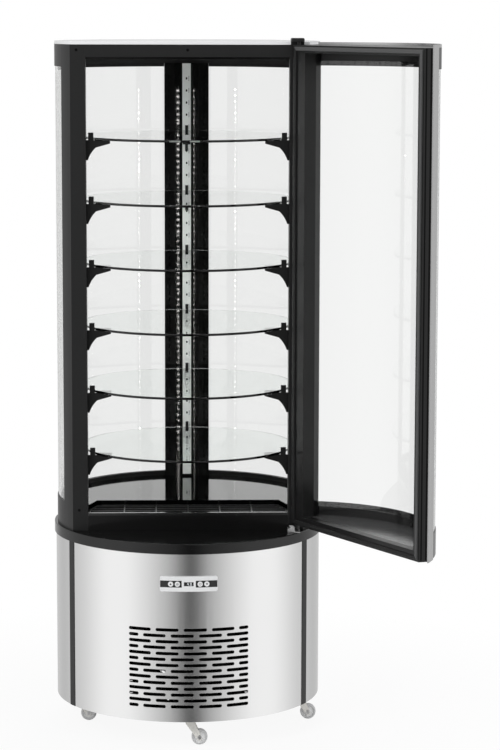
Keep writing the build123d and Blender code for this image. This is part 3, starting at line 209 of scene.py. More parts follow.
def paintedSurface(name, color, rough, grainSize=900.0, grainDepth=0.00002, edgeHighlightLift=1.6, edgeHighlightAmount=0.5,
                   edgeRadius=0.0008, specular=0.5, roughSpread=0.12, lower=None, topHighlightColor=None):
    # powder coat, enamel or moulded plastic: grain, mottling, softened edges with a painted highlight along
    # them
    mat, tree, out = startMaterial(name)
    grain = useGroup(tree, fineGrain, Size=grainSize, Contrast=coat["mottle"])
    roundingAndHighlight = useGroup(tree, edgeRoundingAndHighlight, Radius=edgeRadius, Amount=edgeHighlightAmount)
    base = mottled(tree, grain, color, coat["patches"])
    # painted highlight: the edges take a lighter copy of the coat's colour
    base = mixColor(tree, roundingAndHighlight["Edge"], base, tone(color, edgeHighlightLift, coat["highlightAdd"]))
    if topHighlightColor:  # painted highlight: faces that look up get a lighter colour, as if lit from above
        normal = node(tree, "ShaderNodeNewGeometry").outputs["Normal"]
        upward = node(tree, "ShaderNodeSeparateXYZ", {0: normal}).outputs[2]
        topHighlightMask = math(tree, "GREATER_THAN", upward, 0.5)
        base = mixColor(tree, topHighlightMask, base, mottled(tree, grain, topHighlightColor, coat["widePatches"]))
    if lower:  # another coat below this height
        height = node(tree, "ShaderNodeSeparateXYZ", {0: objectCoords(tree)}).outputs[2]
        isUpper = math(tree, "GREATER_THAN", height, lower["height"])
        base = mixColor(tree, isUpper, mottled(tree, grain, lower["color"], coat["widePatches"]), base)
    roughMap = mapRange(tree, grain["Mottling"], 0.3, 0.7, rough - roughSpread / 2, rough + roughSpread / 2)
    bump = node(tree, "ShaderNodeBump", {"Strength": coat["bump"], "Distance": grainDepth,
                                         "Height": grain["Height"], "Normal": roundingAndHighlight["Normal"]})
    skin = node(tree, "ShaderNodeBsdfPrincipled",
                {"Base Color": base, "Roughness": roughMap, "Specular IOR Level": specular,
                 "Normal": bump.outputs[0]})
    tree.links.new(skin.outputs[0], out.inputs[0])
    return mat


steel = {"contrast": 0.9, "markSize": 5.0, "markStrength": 0.5, "markRough": 0.05, "edgeRadius": 0.0006,
         "edgeHighlightAmount": 0.4, "dark": 0.95, "bump": 0.25, "lineDepth": 0.000004}


def brushedSteel(name, color, rough, fineness=5200.0, spread=0.10, anisotropy=0.0):
    # fine brushing that runs round the drum, with wiping marks in its gloss
    mat, tree, out = startMaterial(name)
    lines = useGroup(tree, brushedLines, Fineness=fineness, Contrast=steel["contrast"])
    marks = useGroup(tree, handMarks, Size=steel["markSize"], Strength=steel["markStrength"])
    roundingAndHighlight = useGroup(tree, edgeRoundingAndHighlight, Radius=steel["edgeRadius"], Amount=steel["edgeHighlightAmount"])
    base = mixColor(tree, lines["Lines"], tone(color, steel["dark"]), shade(color))
    brushing = mapRange(tree, lines["Lines"], 0.25, 0.75, rough - spread / 2, rough + spread / 2)
    wiping = math(tree, "MULTIPLY", marks["Marks"], steel["markRough"])
    bump = node(tree, "ShaderNodeBump", {"Strength": steel["bump"], "Distance": steel["lineDepth"],
                                         "Height": lines["Height"], "Normal": roundingAndHighlight["Normal"]})
    skin = node(tree, "ShaderNodeBsdfPrincipled",
                {"Base Color": base, "Roughness": math(tree, "ADD", brushing, wiping), "Metallic": 1.0,
                 "Normal": bump.outputs[0], "Anisotropic": anisotropy})
    if anisotropy:
        around = node(tree, "ShaderNodeTangent", direction_type="RADIAL", axis="Z")
        tree.links.new(around.outputs[0], skin.inputs["Tangent"])
    tree.links.new(skin.outputs[0], out.inputs[0])
    return mat


glass = {"ior": 1.5, "printSize": 7.0, "prints": 0.5, "printRough": 0.03, "dustRough": 0.06}


def clearGlass(name, tint, rough):
    # a clear sheet; lamp light passes through it without making a hard shadow
    mat, tree, out = startMaterial(name)
    prints = useGroup(tree, handMarks, Size=glass["printSize"], Strength=glass["prints"])
    roughMap = math(tree, "ADD", math(tree, "MULTIPLY", prints["Marks"], glass["printRough"]), rough)
    roughMap = math(tree, "ADD", math(tree, "MULTIPLY", prints["Dust"], glass["dustRough"]), roughMap)
    sheet = node(tree, "ShaderNodeBsdfPrincipled",
                 {"Base Color": shade(tint), "Roughness": roughMap, "Metallic": 0.0,
                  "Transmission Weight": 1.0, "IOR": glass["ior"]})
    through = node(tree, "ShaderNodeBsdfTransparent", {0: shade(tint)})
    isShadow = node(tree, "ShaderNodeLightPath").outputs["Is Shadow Ray"]
    mixed = node(tree, "ShaderNodeMixShader", {0: isShadow, 1: sheet.outputs[0], 2: through.outputs[0]})
    tree.links.new(mixed.outputs[0], out.inputs[0])
    return mat


dots = {"grainSize": 1500.0, "dark": 0.7, "light": 0.9, "rough": 0.4}


def lampDots(name, color, strength):
    # small lit faces
    mat, tree, out = startMaterial(name)
    grain = useGroup(tree, fineGrain, Size=dots["grainSize"])
    base = mixColor(tree, grain["Mottling"], shade(dots["dark"]), shade(dots["light"]))
    skin = node(tree, "ShaderNodeBsdfPrincipled",
                {"Base Color": base, "Roughness": dots["rough"], "Emission Color": shade(color),
                 "Emission Strength": strength})
    tree.links.new(skin.outputs[0], out.inputs[0])
    return mat


finish = {
    "skinSteel": brushedSteel("skinSteel", (0.89, 0.89, 0.888), 0.20, anisotropy=0.5, spread=0.06),
    "plainSteel": brushedSteel("plainSteel", 0.62, 0.34, fineness=2500.0),
    "frameBlack": paintedSurface("frameBlack", 0.0155, 0.38, specular=0.28, edgeHighlightLift=1.8),
    "ringBlack": paintedSurface("ringBlack", 0.0050, 0.34, specular=0.22, edgeHighlightLift=2.0),
    # painted highlight: thin light lines along the edges of the black door frame
    "doorBlack": paintedSurface("doorBlack", 0.0075, 0.30, specular=0.35, edgeHighlightLift=5.0, edgeHighlightAmount=0.8),
    "postGloss": paintedSurface("postGloss", 0.0070, 0.045, grainSize=500.0, grainDepth=0.000002,
                                specular=0.15, roughSpread=0.01),
    "stripBlack": paintedSurface("stripBlack", 0.02, 0.45, specular=0.35),
    "deckBlack": paintedSurface("deckBlack", 0.006, 0.14, grainSize=400.0, grainDepth=0.000004,
                                specular=0.45, roughSpread=0.06),
    "lidPaint": paintedSurface("lidPaint", 0.86, 0.10, roughSpread=0.03, edgeHighlightLift=1.05,
                               lower={"height": 1.7425, "color": 0.006}),
    "paneGlass": clearGlass("paneGlass", (0.84, 0.845, 0.84), 0.0),
    "doorGlass": clearGlass("doorGlass", (0.90, 0.905, 0.90), 0.0),
    "shelfGlass": clearGlass("shelfGlass", (0.885, 0.918, 0.898), 0.01),
    "brightFloor": brushedSteel("brightFloor", 0.095, 0.06, fineness=1800.0, spread=0.04),
    "brightTrim": brushedSteel("brightTrim", 0.13, 0.14, fineness=2600.0, spread=0.05),
    "silverTrim": brushedSteel("silverTrim", 0.60, 0.20, fineness=2600.0, spread=0.05),
    "railSilver": paintedSurface("railSilver", 0.93, 0.34, edgeHighlightLift=1.05),
    "bracketBlack": paintedSurface("bracketBlack", 0.008, 0.45, specular=0.3),
    "sealRubber": paintedSurface("sealRubber", 0.085, 0.5, grainSize=1600.0, specular=0.25, edgeHighlightAmount=0.2),
    "sealBlackAndShade": paintedSurface("sealBlackAndShade", 0.014, 0.5, grainSize=1600.0, specular=0.25, edgeHighlightAmount=0.2),
    "bezelWhite": paintedSurface("bezelWhite", 0.84, 0.36, grainSize=1400.0, edgeHighlightLift=1.05,
                                 grainDepth=0.00001),
    "fasciaDark": paintedSurface("fasciaDark", 0.024, 0.22, grainSize=1200.0, grainDepth=0.000003),
    "buttonWhite": paintedSurface("buttonWhite", 0.88, 0.32, grainSize=1600.0, edgeHighlightLift=1.03,
                                  grainDepth=0.000006),
    "signDark": paintedSurface("signDark", 0.03, 0.5, grainSize=1600.0, edgeHighlightLift=1.1),
    "inletBlack": paintedSurface("inletBlack", 0.02, 0.45),
    "ledBoard": paintedSurface("ledBoard", 0.72, 0.45, edgeHighlightLift=1.05),
    "screwBlackAndGrooveShade": paintedSurface("screwBlackAndGrooveShade", 0.0015, 0.5, specular=0.1, edgeHighlightLift=1.0),
    "boltSteel": brushedSteel("boltSteel", 0.80, 0.34, fineness=4000.0),
    "hingeSteel": brushedSteel("hingeSteel", 0.86, 0.42, fineness=3000.0),
    "bushBlackAndPlateShade": paintedSurface("bushBlackAndPlateShade", 0.010, 0.4, grainSize=1400.0),
    "forkSteel": paintedSurface("forkSteel", (0.86, 0.84, 0.79), 0.30, grainSize=700.0, edgeHighlightLift=1.05),
    "wheelGrey": paintedSurface("wheelGrey", 0.62, 0.5, grainSize=1300.0),
    "hubGrey": paintedSurface("hubGrey", 0.88, 0.42, grainSize=1100.0, edgeHighlightLift=1.1),
    "compressorBlack": paintedSurface("compressorBlack", 0.015, 0.4, grainSize=500.0, grainDepth=0.00006),
    # painted shade: the coil in the base gets a dark tone so the inside stays dark behind the vents
    "finMetalInShade": brushedSteel("finMetalInShade", 0.24, 0.5, fineness=1500.0),
    "finBlack": paintedSurface("finBlack", 0.006, 0.6, specular=0.2),
    # painted highlight: the door's bottom cap is lighter on its upward faces
    "capBlack": paintedSurface("capBlack", 0.008, 0.16, topHighlightColor=0.075, grainSize=500.0, grainDepth=0.000003,
                               roughSpread=0.03),
    # painted highlight: bright lines along the edges of the black grille bars
    "barSteel": paintedSurface("barSteel", 0.014, 0.30, edgeHighlightLift=14.0, edgeRadius=0.0010, edgeHighlightAmount=0.8),
    # painted shade: the foam housing gets a dark grey so the inside of the base stays dark
    "foamInShade": paintedSurface("foamInShade", 0.22, 0.6, grainSize=300.0, edgeHighlightLift=1.02),
    "fanGrey": paintedSurface("fanGrey", 0.06, 0.5),
    "diodeLight": lampDots("diodeLight", (1.0, 0.98, 0.95), 110.0),
    "digitLight": lampDots("digitLight", (0.80, 0.90, 1.0), 0.28),
}
casterSides = ("front", "left", "right", "rear")
finishOf = {
    "skinSteel": ["base_front_panel", "base_side_panels"],
    "plainSteel": ["base_pan", "caster_plates", "lower_hinge"],
    "ringBlack": ["tower_base_ring"],
    "frameBlack": ["top_ring", "front_post_left", "front_post_right", "header", "upper_hinge"],
    "doorBlack": ["door_frame", "door_top_cap"],
    "postGloss": ["rear_post"],
    "stripBlack": ["joint_strips"],
    "deckBlack": ["deck", "sill"],
    "lidPaint": ["top_panel"],
    "paneGlass": ["side_glass_left", "side_glass_right"],
    "doorGlass": ["door_glass"],
    "shelfGlass": ["glass_shelf_%d" % k for k in range(1, 7)],
    "brightFloor": ["floor_plate"],
    "brightTrim": ["threshold_strip"],
    "silverTrim": ["door_trim"],
    "railSilver": ["shelf_rail"],
    "bracketBlack": ["front_brackets", "rear_brackets"],
    "sealRubber": ["door_gasket"],
    "bezelWhite": ["controller_bezel"],
    "fasciaDark": ["controller_fascia"],
    "buttonWhite": ["button_%d" % k for k in range(1, 5)],
    "inletBlack": ["power_inlet"],
    "ledBoard": ["led_strips"],
    "screwBlackAndGrooveShade": ["frame_screws"],
    "forkSteel": ["caster_fork_" + side for side in casterSides],
    "wheelGrey": ["caster_wheel_" + side for side in casterSides],
    "compressorBlack": ["compressor"],
    "finMetalInShade": ["evaporator_coil"],
    "finBlack": ["condenser"],
    "capBlack": ["door_bottom_cap"],
    "barSteel": ["air_grille"],
    "foamInShade": ["evaporator_housing"],
    "fanGrey": ["condenser_fan_mount", "condenser_fan", "evaporator_fan"],
}
for look, members in finishOf.items():
    for member in members:
        mesh = nodes[member].data
        mesh.materials.clear()
        mesh.materials.append(finish[look])
print("finishes on", sum(len(m) for m in finishOf.values()), "nodes")


smoothAngle = radians(32)  # sharper corners than this keep their edge


# mesh helpers
def addPiece(name, bm, looks, body, smooth=True):
    # turns a bmesh into a piece that rides on a body of the cabinet
    mesh = bpy.data.meshes.new(name)
    bmesh.ops.recalc_face_normals(bm, faces=bm.faces)
    bm.to_mesh(mesh)
    bm.free()
    for look in looks:
        mesh.materials.append(finish[look])
    piece = bpy.data.objects.new(name, mesh)
    bpy.context.scene.collection.objects.link(piece)
    if smooth:
        for face in mesh.polygons:
            face.use_smooth = True
        mesh.set_sharp_from_angle(angle=smoothAngle)
    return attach(piece, body)


def addBox(bm, low, high, place=Matrix.Identity(4), bevel=0.0, material=0):
    made = bmesh.ops.create_cube(bm, size=1.0)["verts"]
    size = Vector(high) - Vector(low)
    middle = (Vector(high) + Vector(low)) / 2
    for vert in made:
        vert.co = place @ (Vector((vert.co.x * size.x, vert.co.y * size.y, vert.co.z * size.z)) + middle)
    faces = {face for vert in made for face in vert.link_faces}
    if bevel:
        edges = list({edge for face in faces for edge in face.edges})
        faces.update(bmesh.ops.bevel(bm, geom=edges, offset=bevel, segments=2, affect="EDGES")["faces"])
    for face in faces:
        if face.is_valid:
            face.material_index = material


def addSheet(bm, place, outline, height):
    # a flat shape with sharp edges: outline in the place's own x and y, thickness along its z
    low, high = ([bm.verts.new(place @ Vector((x, y, z))) for x, y in outline] for z in (0.0, height))
    bm.faces.new(low)
    bm.faces.new(high)
    for k in range(len(low)):
        n = (k + 1) % len(low)
        bm.faces.new((low[k], low[n], high[n], high[k]))


def addRings(bm, place, rings, steps=24, material=0, closeEnd=True):
    # turned shapes: each ring is (radius, height) or (radius, height, sides) for a many-sided ring
    loops = []
    for ring in rings:
        radius, height, sides = (*ring, 0)[:3]
        loop = []
        for k in range(steps):
            a = 2 * pi * k / steps
            r = radius
            if sides:
                half = pi / sides
                r = radius * cos(half) / cos((a % (2 * half)) - half)
            loop.append(bm.verts.new(place @ Vector((r * cos(a), r * sin(a), height))))
        loops.append(loop)
    made = []
    for low, high in zip(loops, loops[1:]):
        for k in range(steps):
            made.append(bm.faces.new((low[k], low[(k + 1) % steps], high[(k + 1) % steps], high[k])))
    if closeEnd:
        made.append(bm.faces.new(loops[-1]))
    for face in made:
        face.material_index = material


def facing(spot, ahead, up=(0, 0, 1)):
    # a placing matrix: local z points along ahead, local y as near to up as it can
    z = Vector(ahead).normalized()
    x = Vector(up).cross(z)
    x = x.normalized() if x.length > 0.001 else Vector((1, 0, 0))
    y = z.cross(x)
    return Matrix.Translation(spot) @ Matrix((x, y, z)).transposed().to_4x4()


def addScrew(bm, place, radius, height):
    # a domed head with a six-sided socket
    addRings(bm, place, [(radius, 0.0), (radius, 0.45 * height), (0.94 * radius, 0.75 * height),
                         (0.78 * radius, 0.95 * height), (0.56 * radius, height), (0.46 * radius, height, 6),
                         (0.44 * radius, 0.35 * height, 6)])


def addHexHead(bm, place, radius, height, washer=0.0):
    # a six-sided bolt head, on a washer where one is given
    if washer:
        addRings(bm, place, [(washer, 0.0), (washer, 0.25 * height), (0.9 * washer, 0.32 * height)])
    addRings(bm, place, [(radius, 0.0, 6), (radius, 0.86 * height, 6), (0.93 * radius, height, 6)])


def drumSpot(along, z, radius):
    # a place on the drum's front, measured along the skin from its middle, with its outward direction
    a = along / radius
    out = Vector((sin(a), -cos(a), 0.0))
    return out * radius + Vector((0.0, 0.0, z)), out


def addArcPlate(bm, angles, heights, radii, steps):
    # a thin plate bent round the drum's axis; angle 0 is the drum's front
    corners = [(radii[i], heights[j]) for i, j in ((0, 0), (1, 0), (1, 1), (0, 1))]
    sections = []
    for k in range(steps + 1):
        a = angles[0] + (angles[1] - angles[0]) * k / steps
        out = Vector((sin(a), -cos(a), 0.0))
        sections.append([bm.verts.new(out * r + Vector((0, 0, z))) for r, z in corners])
    bm.faces.new(sections[0])
    bm.faces.new(sections[-1])
    for a, b in zip(sections, sections[1:]):
        for k in range(4):
            n = (k + 1) % 4
            bm.faces.new((a[k], b[k], b[n], a[n]))


def middleOf(name):
    # the middle of a node's box
    low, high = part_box(name)
    return (Vector(low) + Vector(high)) / 2


def outermost(name, out):
    # how far a node reaches along a direction, from the drum's axis
    return max(vert.co.dot(out) for vert in nodes[name].data.vertices)


# lamps: the diodes on both strips
lamps = {"x": 0.277, "gap": 0.006, "pitch": 0.01667, "chip": (0.005, 0.0012, 0.0035), "sink": 0.0002}
low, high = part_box("led_strips")
bm = bmesh.new()
count = int((high[2] - low[2] - 2 * lamps["gap"]) / lamps["pitch"]) + 1
for side in (-1, 1):
    for k in range(count):
        z = high[2] - lamps["gap"] - k * lamps["pitch"]
        w, d, h = lamps["chip"]
        addBox(bm, (side * lamps["x"] - w / 2, high[1] - lamps["sink"], z - h / 2),
               (side * lamps["x"] + w / 2, high[1] + d, z + h / 2))
addPiece("lampDiodes", bm, ["diodeLight"], "cabinet", smooth=False)
print("lamp diodes:", 2 * count)

# door seal: a magnetic strip on folded bellows, mitred at the corners
seal = {"left": -0.262, "right": 0.2745, "low": 0.545, "high": 1.738, "face": -0.172, "perMetre": 1000,
        # the section: distance in from the corner and out from the door, in millimetres
        "profile": ((0.0, 0.0), (0.0, 0.8), (1.3, 1.1), (0.5, 1.7), (1.4, 2.2), (0.9, 2.5), (0.9, 3.3),
                    (1.3, 3.6), (4.6, 3.6), (5.0, 3.35), (5.4, 3.6), (8.7, 3.6), (9.1, 3.3), (9.1, 2.5),
                    (8.6, 2.2), (9.5, 1.7), (8.7, 1.1), (10.0, 0.8), (10.0, 0.0))}
opening = Matrix.Rotation(radians(cabinet["doorAngle"]), 4, "Z")
openDoor = (Matrix.Translation((*cabinet["hinge"], 0)) @ opening
            @ Matrix.Translation((-cabinet["hinge"][0], -cabinet["hinge"][1], 0)))
bm = bmesh.new()
corners = ((seal["left"], seal["low"], 1, 1), (seal["right"], seal["low"], -1, 1),
           (seal["right"], seal["high"], -1, -1), (seal["left"], seal["high"], 1, -1))
loops = []
for x, z, inX, inZ in corners:
    loop = []
    for across, deep in seal["profile"]:
        w, d = across / seal["perMetre"], deep / seal["perMetre"]
        loop.append(bm.verts.new(openDoor @ Vector((x + inX * w, seal["face"] + d, z + inZ * w))))
    loops.append(loop)
for index, (a, b) in enumerate(zip(loops, loops[1:] + loops[:1])):
    for k in range(len(a)):
        n = (k + 1) % len(a)
        face = bm.faces.new((a[k], b[k], b[n], a[n]))
        face.material_index = 1 if index < 2 else 0  # painted shade: darker along the bottom and beside the hinges
doorSeal = addPiece("doorSeal", bm, ["sealRubber", "sealBlackAndShade"], "door", smooth=False)
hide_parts("door_gasket")
print("door seal fitted")

# free edge of the door: two dark strips along the stile, painted shade where grooves run
grooveShade = {"from": (-0.2660, -0.1720), "to": (-0.2721, -0.1919), "at": (0.27, 0.84), "width": 0.0034,
         "low": 0.5450, "high": 1.7410, "proud": 0.00012}
bm = bmesh.new()
start, end = Vector((*grooveShade["from"], 0.0)), Vector((*grooveShade["to"], 0.0))
along = (end - start).normalized()
for share in grooveShade["at"]:
    spot = start.lerp(end, share)
    place = openDoor @ facing((spot.x, spot.y, grooveShade["low"]), (along.y, -along.x, 0.0))
    addBox(bm, (-grooveShade["width"] / 2, 0.0, -grooveShade["proud"]),
           (grooveShade["width"] / 2, grooveShade["high"] - grooveShade["low"], grooveShade["proud"]), place)
addPiece("doorGrooveShades", bm, ["screwBlackAndGrooveShade"], "door", smooth=False)
print("door edge shaded")

# casters: tyre, hub, axle bolts and the bolts of the plates
casters = {"bore": 0.0031, "forkHalf": 0.0115, "boltHead": 0.0046, "boltHeight": 0.0028, "washer": 0.0058,
           "trail": 0.027, "plateUnder": 0.0675, "plateBolts": 0.0145, "plateHead": 0.0042,
           "plateHeight": 0.0024, "steps": 48, "hubInset": 0.0002,
           # each point: share of the wheel's radius, and distance in from the wheel's side
           "tyre": ((0.71, 0.0016), (0.76, 0.0004), (0.86, 0.0), (0.945, 0.0012), (0.985, 0.0032),
                    (1.0, 0.0056)),
           "disc": ((0.26, 0.0002), (0.30, 0.0010), (0.34, 0.0026), (0.64, 0.0026), (0.68, 0.0016),
                    (0.73, 0.0014))}
plateBolts = bmesh.new()
for side in casterSides:
    low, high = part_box("caster_wheel_" + side)
    spot = middleOf("caster_wheel_" + side)
    r, half, bore = (high[2] - low[2]) / 2, (high[1] - low[1]) / 2, casters["bore"]
    hub = facing(spot, (0, -1, 0))
    hubFace = half - casters["hubInset"]
    tyre = [(share * r, half - inset) for share, inset in casters["tyre"]]
    disc = [(bore, hubFace)] + [(share * r, half - inset) for share, inset in casters["disc"]]
    bm = bmesh.new()
    addRings(bm, hub, [(q, -h) for q, h in tyre] + [(q, h) for q, h in reversed(tyre)], casters["steps"],
             closeEnd=False)
    for rings in (disc, [(q, -h) for q, h in disc], [(bore, -hubFace), (bore, hubFace)]):
        addRings(bm, hub, rings, casters["steps"], material=1, closeEnd=False)
    wheel = addPiece("wheel_" + side, bm, ["wheelGrey", "hubGrey"], "wheel_" + side)
    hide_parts("caster_wheel_" + side)
    bm = bmesh.new()
    for out in (-1, 1):
        head = spot + Vector((0, out * casters["forkHalf"], 0))
        sideways = facing(head, (0, out, 0))
        addHexHead(bm, sideways, casters["boltHead"], casters["boltHeight"], casters["washer"])
    addPiece("axleBolt_" + side, bm, ["boltSteel"], "caster_" + side, smooth=False)
    for dx in (-1, 1):
        for dy in (-1, 1):
            head = Vector((spot.x - casters["trail"] + dx * casters["plateBolts"],
                           spot.y + dy * casters["plateBolts"], casters["plateUnder"]))
            downward = facing(head, (0, 0, -1), (0, 1, 0))
            addHexHead(plateBolts, downward, casters["plateHead"], casters["plateHeight"])
addPiece("plateBolts", plateBolts, ["boltSteel"], "cabinet", smooth=False)
print("casters fitted")

# controller: signs on the buttons, lit digits and the ends of the dark strips
controls = {"signSize": 0.0029, "signThick": 0.00012, "ringWall": 0.0007, "triangleFoot": 0.7, "dot": 0.35,
            "stem": (0.1, 1.15), "arcGap": radians(35.0), "arcSteps": 20, "digit": (0.0036, 0.0066),
            "stroke": 0.0008, "digitStep": 0.0058, "pointStep": 2.2, "digitStart": -0.0040,
            "digitThick": 0.00012, "stripEnd": (0.0660, 0.0713), "stripLift": 0.00012, "stripSink": 0.0002,
            "stripSteps": 3}
size, thick, wall = controls["signSize"], controls["signThick"], controls["ringWall"]


def addTriangle(bm, place, up):
    footHeight = -controls["triangleFoot"] * size * up
    addSheet(bm, place, [(-size, footHeight), (size, footHeight), (0.0, size * up)], thick)


def addLampSign(bm, place):
    # a ring round a dot
    inside = size - wall
    addRings(bm, place, [(size, 0.0), (size, thick), (inside, thick), (inside, 0.0)], closeEnd=False)
    dot = controls["dot"] * size
    addRings(bm, place, [(dot, 0.0), (dot, thick)])


def addPowerSign(bm, place):
    # an open ring with a stem in its gap
    gap, steps = controls["arcGap"], controls["arcSteps"]
    arc = [pi / 2 + gap + (2 * pi - 2 * gap) * k / steps for k in range(steps + 1)]
    outline = [(size * cos(a), size * sin(a)) for a in arc]
    outline += [((size - wall) * cos(a), (size - wall) * sin(a)) for a in reversed(arc)]
    addSheet(bm, place, outline, thick)
    foot, top = (share * size for share in controls["stem"])
    addSheet(bm, place, [(-wall / 2, foot), (wall / 2, foot), (wall / 2, top), (-wall / 2, top)], thick)


signs = (lambda bm, place: addTriangle(bm, place, 1), addLampSign, addPowerSign,
         lambda bm, place: addTriangle(bm, place, -1))
for number, addSign in enumerate(signs, start=1):
    middle = middleOf("button_%d" % number)
    out = Vector((middle.x, middle.y, 0.0)).normalized()
    bm = bmesh.new()
    addSign(bm, facing(out * outermost("button_%d" % number, out) + Vector((0, 0, middle.z)), out))
    addPiece("sign_%d" % number, bm, ["signDark"], "button_%d" % number, smooth=False)

segments = {"0": "abcdef", "4": "bcfg"}
w, h = controls["digit"]
t = controls["stroke"]
bars = {"a": (0, h - t, w, h), "b": (w - t, h / 2, w, h), "c": (w - t, 0, w, h / 2), "d": (0, 0, w, t),
        "e": (0, 0, t, h / 2), "f": (0, h / 2, t, h), "g": (0, h / 2 - t / 2, w, h / 2 + t / 2)}
middle = middleOf("controller_fascia")
low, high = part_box("controller_fascia")
screenRadius = -low[1]
bm = bmesh.new()
along = controls["digitStart"]
for mark in ("4", ".", "0"):
    spot, out = drumSpot(along, middle.z - h / 2, screenRadius)
    place = facing(spot, out)
    if mark == ".":
        addBox(bm, (0, 0, 0), (t, t, controls["digitThick"]), place)
        along += controls["pointStep"] * t
        continue
    for bar in segments[mark]:
        x0, y0, x1, y1 = bars[bar]
        addBox(bm, (x0, y0, 0), (x1, y1, controls["digitThick"]), place)
    along += controls["digitStep"]
addPiece("displayDigits", bm, ["digitLight"], "cabinet", smooth=False)

bezelRadius = -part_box("controller_bezel")[0][1]
stripRadii = (bezelRadius - controls["stripSink"], bezelRadius + controls["stripLift"])
bm = bmesh.new()
for side in (-1, 1):
    ends = [side * reach / bezelRadius for reach in controls["stripEnd"]]
    addArcPlate(bm, ends, (low[2], high[2]), stripRadii, controls["stripSteps"])
addPiece("fasciaEnds", bm, ["fasciaDark"], "cabinet", smooth=False)
print("controller dressed")

# lower hinge: a steel foot with a raised stop, a dark bush round its pin, and a dark base plate that is
# painted shade under the door
foot = {"blockSize": (0.017, 0.020, 0.011), "plate": 0.003, "bevel": 0.0008, "pin": 0.004, "pinTip": 0.0008,
        "tipShare": 0.8, "bush": 0.007, "bushSteps": 36, "lip": 0.001, "lipDrops": (0.002, 0.0018, 0.0002),
        "underDoor": 0.0004, "doorRise": 0.0185, "stopLow": (0.0085, 0.0170), "stopHigh": (0.0035, 0.0125),
        "stopThick": 0.005, "stopSetback": 0.004}
low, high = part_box("lower_hinge")
plateTop = low[2] + foot["plate"]
blockX, blockY, blockZ = foot["blockSize"]
blockTop = low[2] + blockZ
bm = bmesh.new()
doorUnder = low[2] + foot["doorRise"] - foot["underDoor"]
stopFoot, stopSide = blockTop - foot["plate"], blockTop + foot["plate"]
inner, outer = foot["stopLow"]
outline = ((inner, stopFoot), (outer, stopFoot), (outer, stopSide), (foot["stopHigh"][1], doorUnder),
           (foot["stopHigh"][0], doorUnder))
upright = facing((low[0], low[1] + foot["stopSetback"], 0.0), (0, 1, 0))  # its own x axis points to the left
addSheet(bm, upright, [(-x, z) for x, z in outline], foot["stopThick"])
pinPlace = Matrix.Translation((*cabinet["hinge"], 0))
addRings(bm, pinPlace, [(foot["pin"], low[2]), (foot["pin"], high[2] - foot["pinTip"]),
                        (foot["tipShare"] * foot["pin"], high[2])])
lipFoot, lipStart, lipEnd = (doorUnder - drop for drop in foot["lipDrops"])
lipRadius = foot["bush"] + foot["lip"]
addRings(bm, pinPlace, [(foot["bush"], plateTop), (foot["bush"], lipFoot), (lipRadius, lipStart),
                        (lipRadius, lipEnd), (foot["bush"], doorUnder), (foot["pin"], doorUnder)],
         foot["bushSteps"], material=1, closeEnd=False)
# the bevelled boxes come last: faces added after a bevel are stored in another order on each run
# painted shade: the base plate takes the dark colour under the door
addBox(bm, low, (high[0], high[1], plateTop), bevel=foot["bevel"] / 2, material=1)
addBox(bm, low, (low[0] + blockX, low[1] + blockY, blockTop), bevel=foot["bevel"])
hingeFoot = addPiece("hingeFoot", bm, ["hingeSteel", "bushBlackAndPlateShade"], "cabinet")
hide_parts("lower_hinge")
print("lower hinge built")

# screws: flat heads on the frame, domed heads on the lid and the inlet
screws = {"frame": ((-0.275, 1.729), (0.0, 1.729), (0.275, 1.729), (-0.275, 0.575), (0.275, 0.575)),
          "head": 0.0035, "flat": 0.0003, "lidRadius": 0.318, "lidHead": 0.0042, "lidDome": 0.0004,
          "lidAngles": (-15, 15, 45, 75, 105, 135, 165, 195), "inletAngle": radians(68.0),
          "inletReach": 0.0205, "inletHead": 0.0024, "inletDome": 0.0011}
bm = bmesh.new()
for x, z in screws["frame"]:
    addScrew(bm, facing((x, cabinet["frontFace"], z), (0, -1, 0)), screws["head"], screws["flat"])
frameScrews = addPiece("frameScrews", bm, ["screwBlackAndGrooveShade"], "cabinet", smooth=False)
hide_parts("frame_screws")
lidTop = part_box("top_panel")[1][2]
bm = bmesh.new()
for angle in screws["lidAngles"]:
    spot = (screws["lidRadius"] * cos(radians(angle)), screws["lidRadius"] * sin(radians(angle)), lidTop)
    addScrew(bm, facing(spot, (0, 0, 1), (0, 1, 0)), screws["lidHead"], screws["lidDome"])
addPiece("lidScrews", bm, ["boltSteel"], "cabinet")
out = Vector((cos(screws["inletAngle"]), sin(screws["inletAngle"]), 0.0))
aside = Vector((-out.y, out.x, 0.0))
bm = bmesh.new()
for side in (-1, 1):
    spot = (out * outermost("power_inlet", out) + aside * side * screws["inletReach"]
            + Vector((0, 0, middleOf("power_inlet").z)))
    addScrew(bm, facing(spot, out), screws["inletHead"], screws["inletDome"])
addPiece("inletScrews", bm, ["boltSteel"], "cabinet")
print("screws placed")

# pane seals: rubber beads where the side panes meet the top ring
paneSeal = {"drop": 0.0085, "radii": (0.3221, 0.3279), "from": radians(69.6), "to": radians(169.4),
            "steps": 40}
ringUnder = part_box("top_ring")[0][2]
bm = bmesh.new()
for side in (-1, 1):
    angles = (side * paneSeal["from"], side * paneSeal["to"])
    addArcPlate(bm, angles, (ringUnder - paneSeal["drop"], ringUnder), paneSeal["radii"], paneSeal["steps"])
addPiece("paneSeals", bm, ["sealBlackAndShade"], "cabinet")
print("pane seals fitted")

